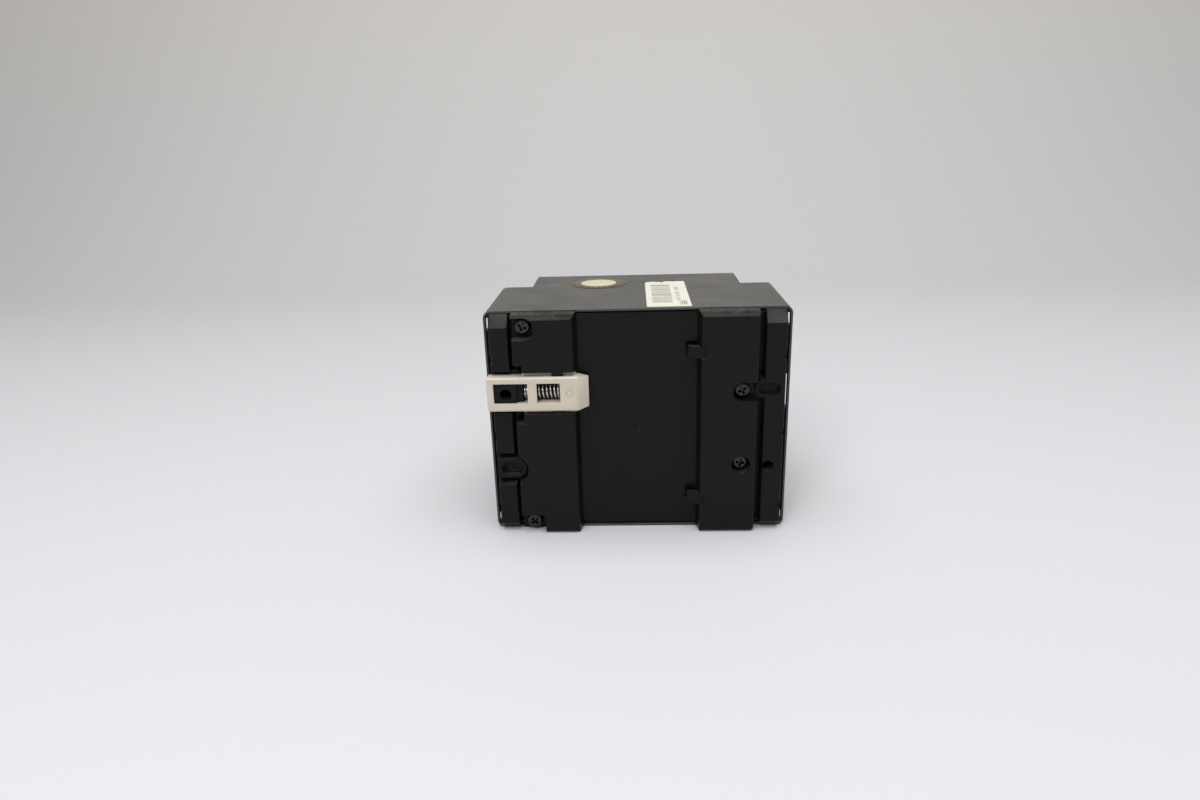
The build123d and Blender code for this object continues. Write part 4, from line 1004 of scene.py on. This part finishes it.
def number_row(name, numbers, x, front_y, places_z, height, body):
    """A row of numbers whose tops point to +X and which read along +Z, centred on front_y."""
    signs = []
    for number, place_z in zip(numbers, places_z):
        bpy.ops.object.text_add(location=(x, front_y, place_z), rotation=(pi / 2, -pi / 2, pi))
        sign = bpy.context.object
        sign.data.body = str(number)
        sign.data.size = height
        sign.data.extrude = SIGN_HALF_DEPTH
        sign.data.align_x = "CENTER"
        sign.data.align_y = "CENTER"
        bpy.ops.object.convert(target="MESH")
        signs.append(bpy.context.object)
    bpy.ops.object.select_all(action="DESELECT")
    for sign in signs:
        sign.select_set(True)
    bpy.context.view_layer.objects.active = signs[0]
    bpy.ops.object.join()
    row = bpy.context.object
    settle(row)
    row.name = row.data.name = name
    row.data.materials.append(white_ink)
    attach(row, body)


for end, first in (("top", 1), ("bottom", 8)):
    lid_low, lid_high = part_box(f"terminal_cover_{end}")
    side = 1 if end == "top" else -1
    boxes = islands(f"terminal_screws_{end}")
    number_x = side * (min(abs(lid_low.x), abs(lid_high.x)) + LID_SIGN_INSET)
    places_z = [(low.z + high.z) / 2 for low, high in boxes]
    number_row(f"lid_numbers_{end}", range(first, first + len(boxes)), number_x,
               lid_high.y - LID_SIGN_SINK, places_z, LID_SIGN_HEIGHT, f"terminal_lid_{end}")
boxes = islands("status_leds")
_, cover_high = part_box("front_cover")
lens_low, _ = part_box("indicator_lens")
places_z = [(low.z + high.z) / 2 for low, high in boxes]
number_row("indicator_numbers", range(1, len(boxes) + 1), lens_low.x - LENS_SIGN_GAP,
           cover_high.y - LENS_SIGN_SINK, places_z, LENS_SIGN_HEIGHT, "module")
print("numbers on", len(boxes), "indicators")

# %% [markdown]
# ## Light, floor and backdrop
#
# A white sweep stands in for a light tent: a floor that curves up into a wall, so no corner shows. It is a
# plane whose far edge is extruded in short steps round a quarter circle. One large soft lamp hangs above, a
# smaller softbox stands in front and to the left, and the world fills the shadows.

# %% Sweep
FLOOR_HALF, FLOOR_END, SWEEP_RADIUS, WALL_HEIGHT, SWEEP_STEPS = 2.0, 0.35, 0.3, 1.5, 16
bpy.ops.mesh.primitive_plane_add(size=2)
sweep = bpy.context.object
sweep.scale = (FLOOR_HALF, (FLOOR_END + FLOOR_HALF) / 2, 1)
sweep.location = (0, (FLOOR_END - FLOOR_HALF) / 2, cad_low.z)
settle(sweep)
choose_edges(sweep, lambda a, b: min(a.y, b.y) > FLOOR_END - 0.001)
step = pi / 2 / SWEEP_STEPS
for index in range(SWEEP_STEPS):
    start, stop = index * step, (index + 1) * step
    rise = SWEEP_RADIUS * (cos(start) - cos(stop))
    run = SWEEP_RADIUS * (sin(stop) - sin(start))
    bpy.ops.mesh.extrude_region_move(TRANSFORM_OT_translate={"value": (0, run, rise)})
bpy.ops.mesh.extrude_region_move(TRANSFORM_OT_translate={"value": (0, 0, WALL_HEIGHT)})
end_edit()
smooth(sweep, 60)
sweep.name = "studio_sweep"
sweep_paint, tree, shader = shader_of("Pale sweep")
height = xyz(tree)[2]
tree.links.new(mix_colour(tree, ramp(tree, height, 0.0, 0.25), (0.64, 0.645, 0.66, 1), (0.70, 0.67, 0.62, 1)),
               shader.inputs["Base Color"])
shader.inputs["Roughness"].default_value = 0.7
sweep.data.materials.append(sweep_paint)
print("sweep", len(sweep.data.polygons), "faces")

# %% Lamps and world
KEY_PLACE, KEY_WATTS = (0.05, -0.22, 0.85), 8.2
SOFTBOX_PLACE, SOFTBOX_WATTS = Vector((-0.22, -0.62, 0.56)), 1.9
WORLD_STRENGTH = 0.38

bpy.ops.object.light_add(type="AREA", location=KEY_PLACE)
key = bpy.context.object
key.data.shape = "RECTANGLE"
key.data.size, key.data.size_y = 1.0, 0.9
key.data.energy = KEY_WATTS
key.data.color = (0.975, 0.985, 1.0)

aim = (Vector((0, 0, 0.035)) - SOFTBOX_PLACE).to_track_quat("-Z", "Y").to_euler()
bpy.ops.object.light_add(type="AREA", location=SOFTBOX_PLACE, rotation=aim)
softbox = bpy.context.object
softbox.data.shape = "RECTANGLE"
softbox.data.size, softbox.data.size_y = 0.30, 0.14
softbox.data.energy = SOFTBOX_WATTS

world = bpy.data.worlds.new("Studio")
bpy.context.scene.world = world
world.use_nodes = True
world.node_tree.nodes["Background"].inputs["Color"].default_value = (0.80, 0.80, 0.81, 1)
world.node_tree.nodes["Background"].inputs["Strength"].default_value = WORLD_STRENGTH
bpy.context.scene.view_settings.view_transform = "Standard"
print("lamps", key.data.energy, softbox.data.energy, "W")
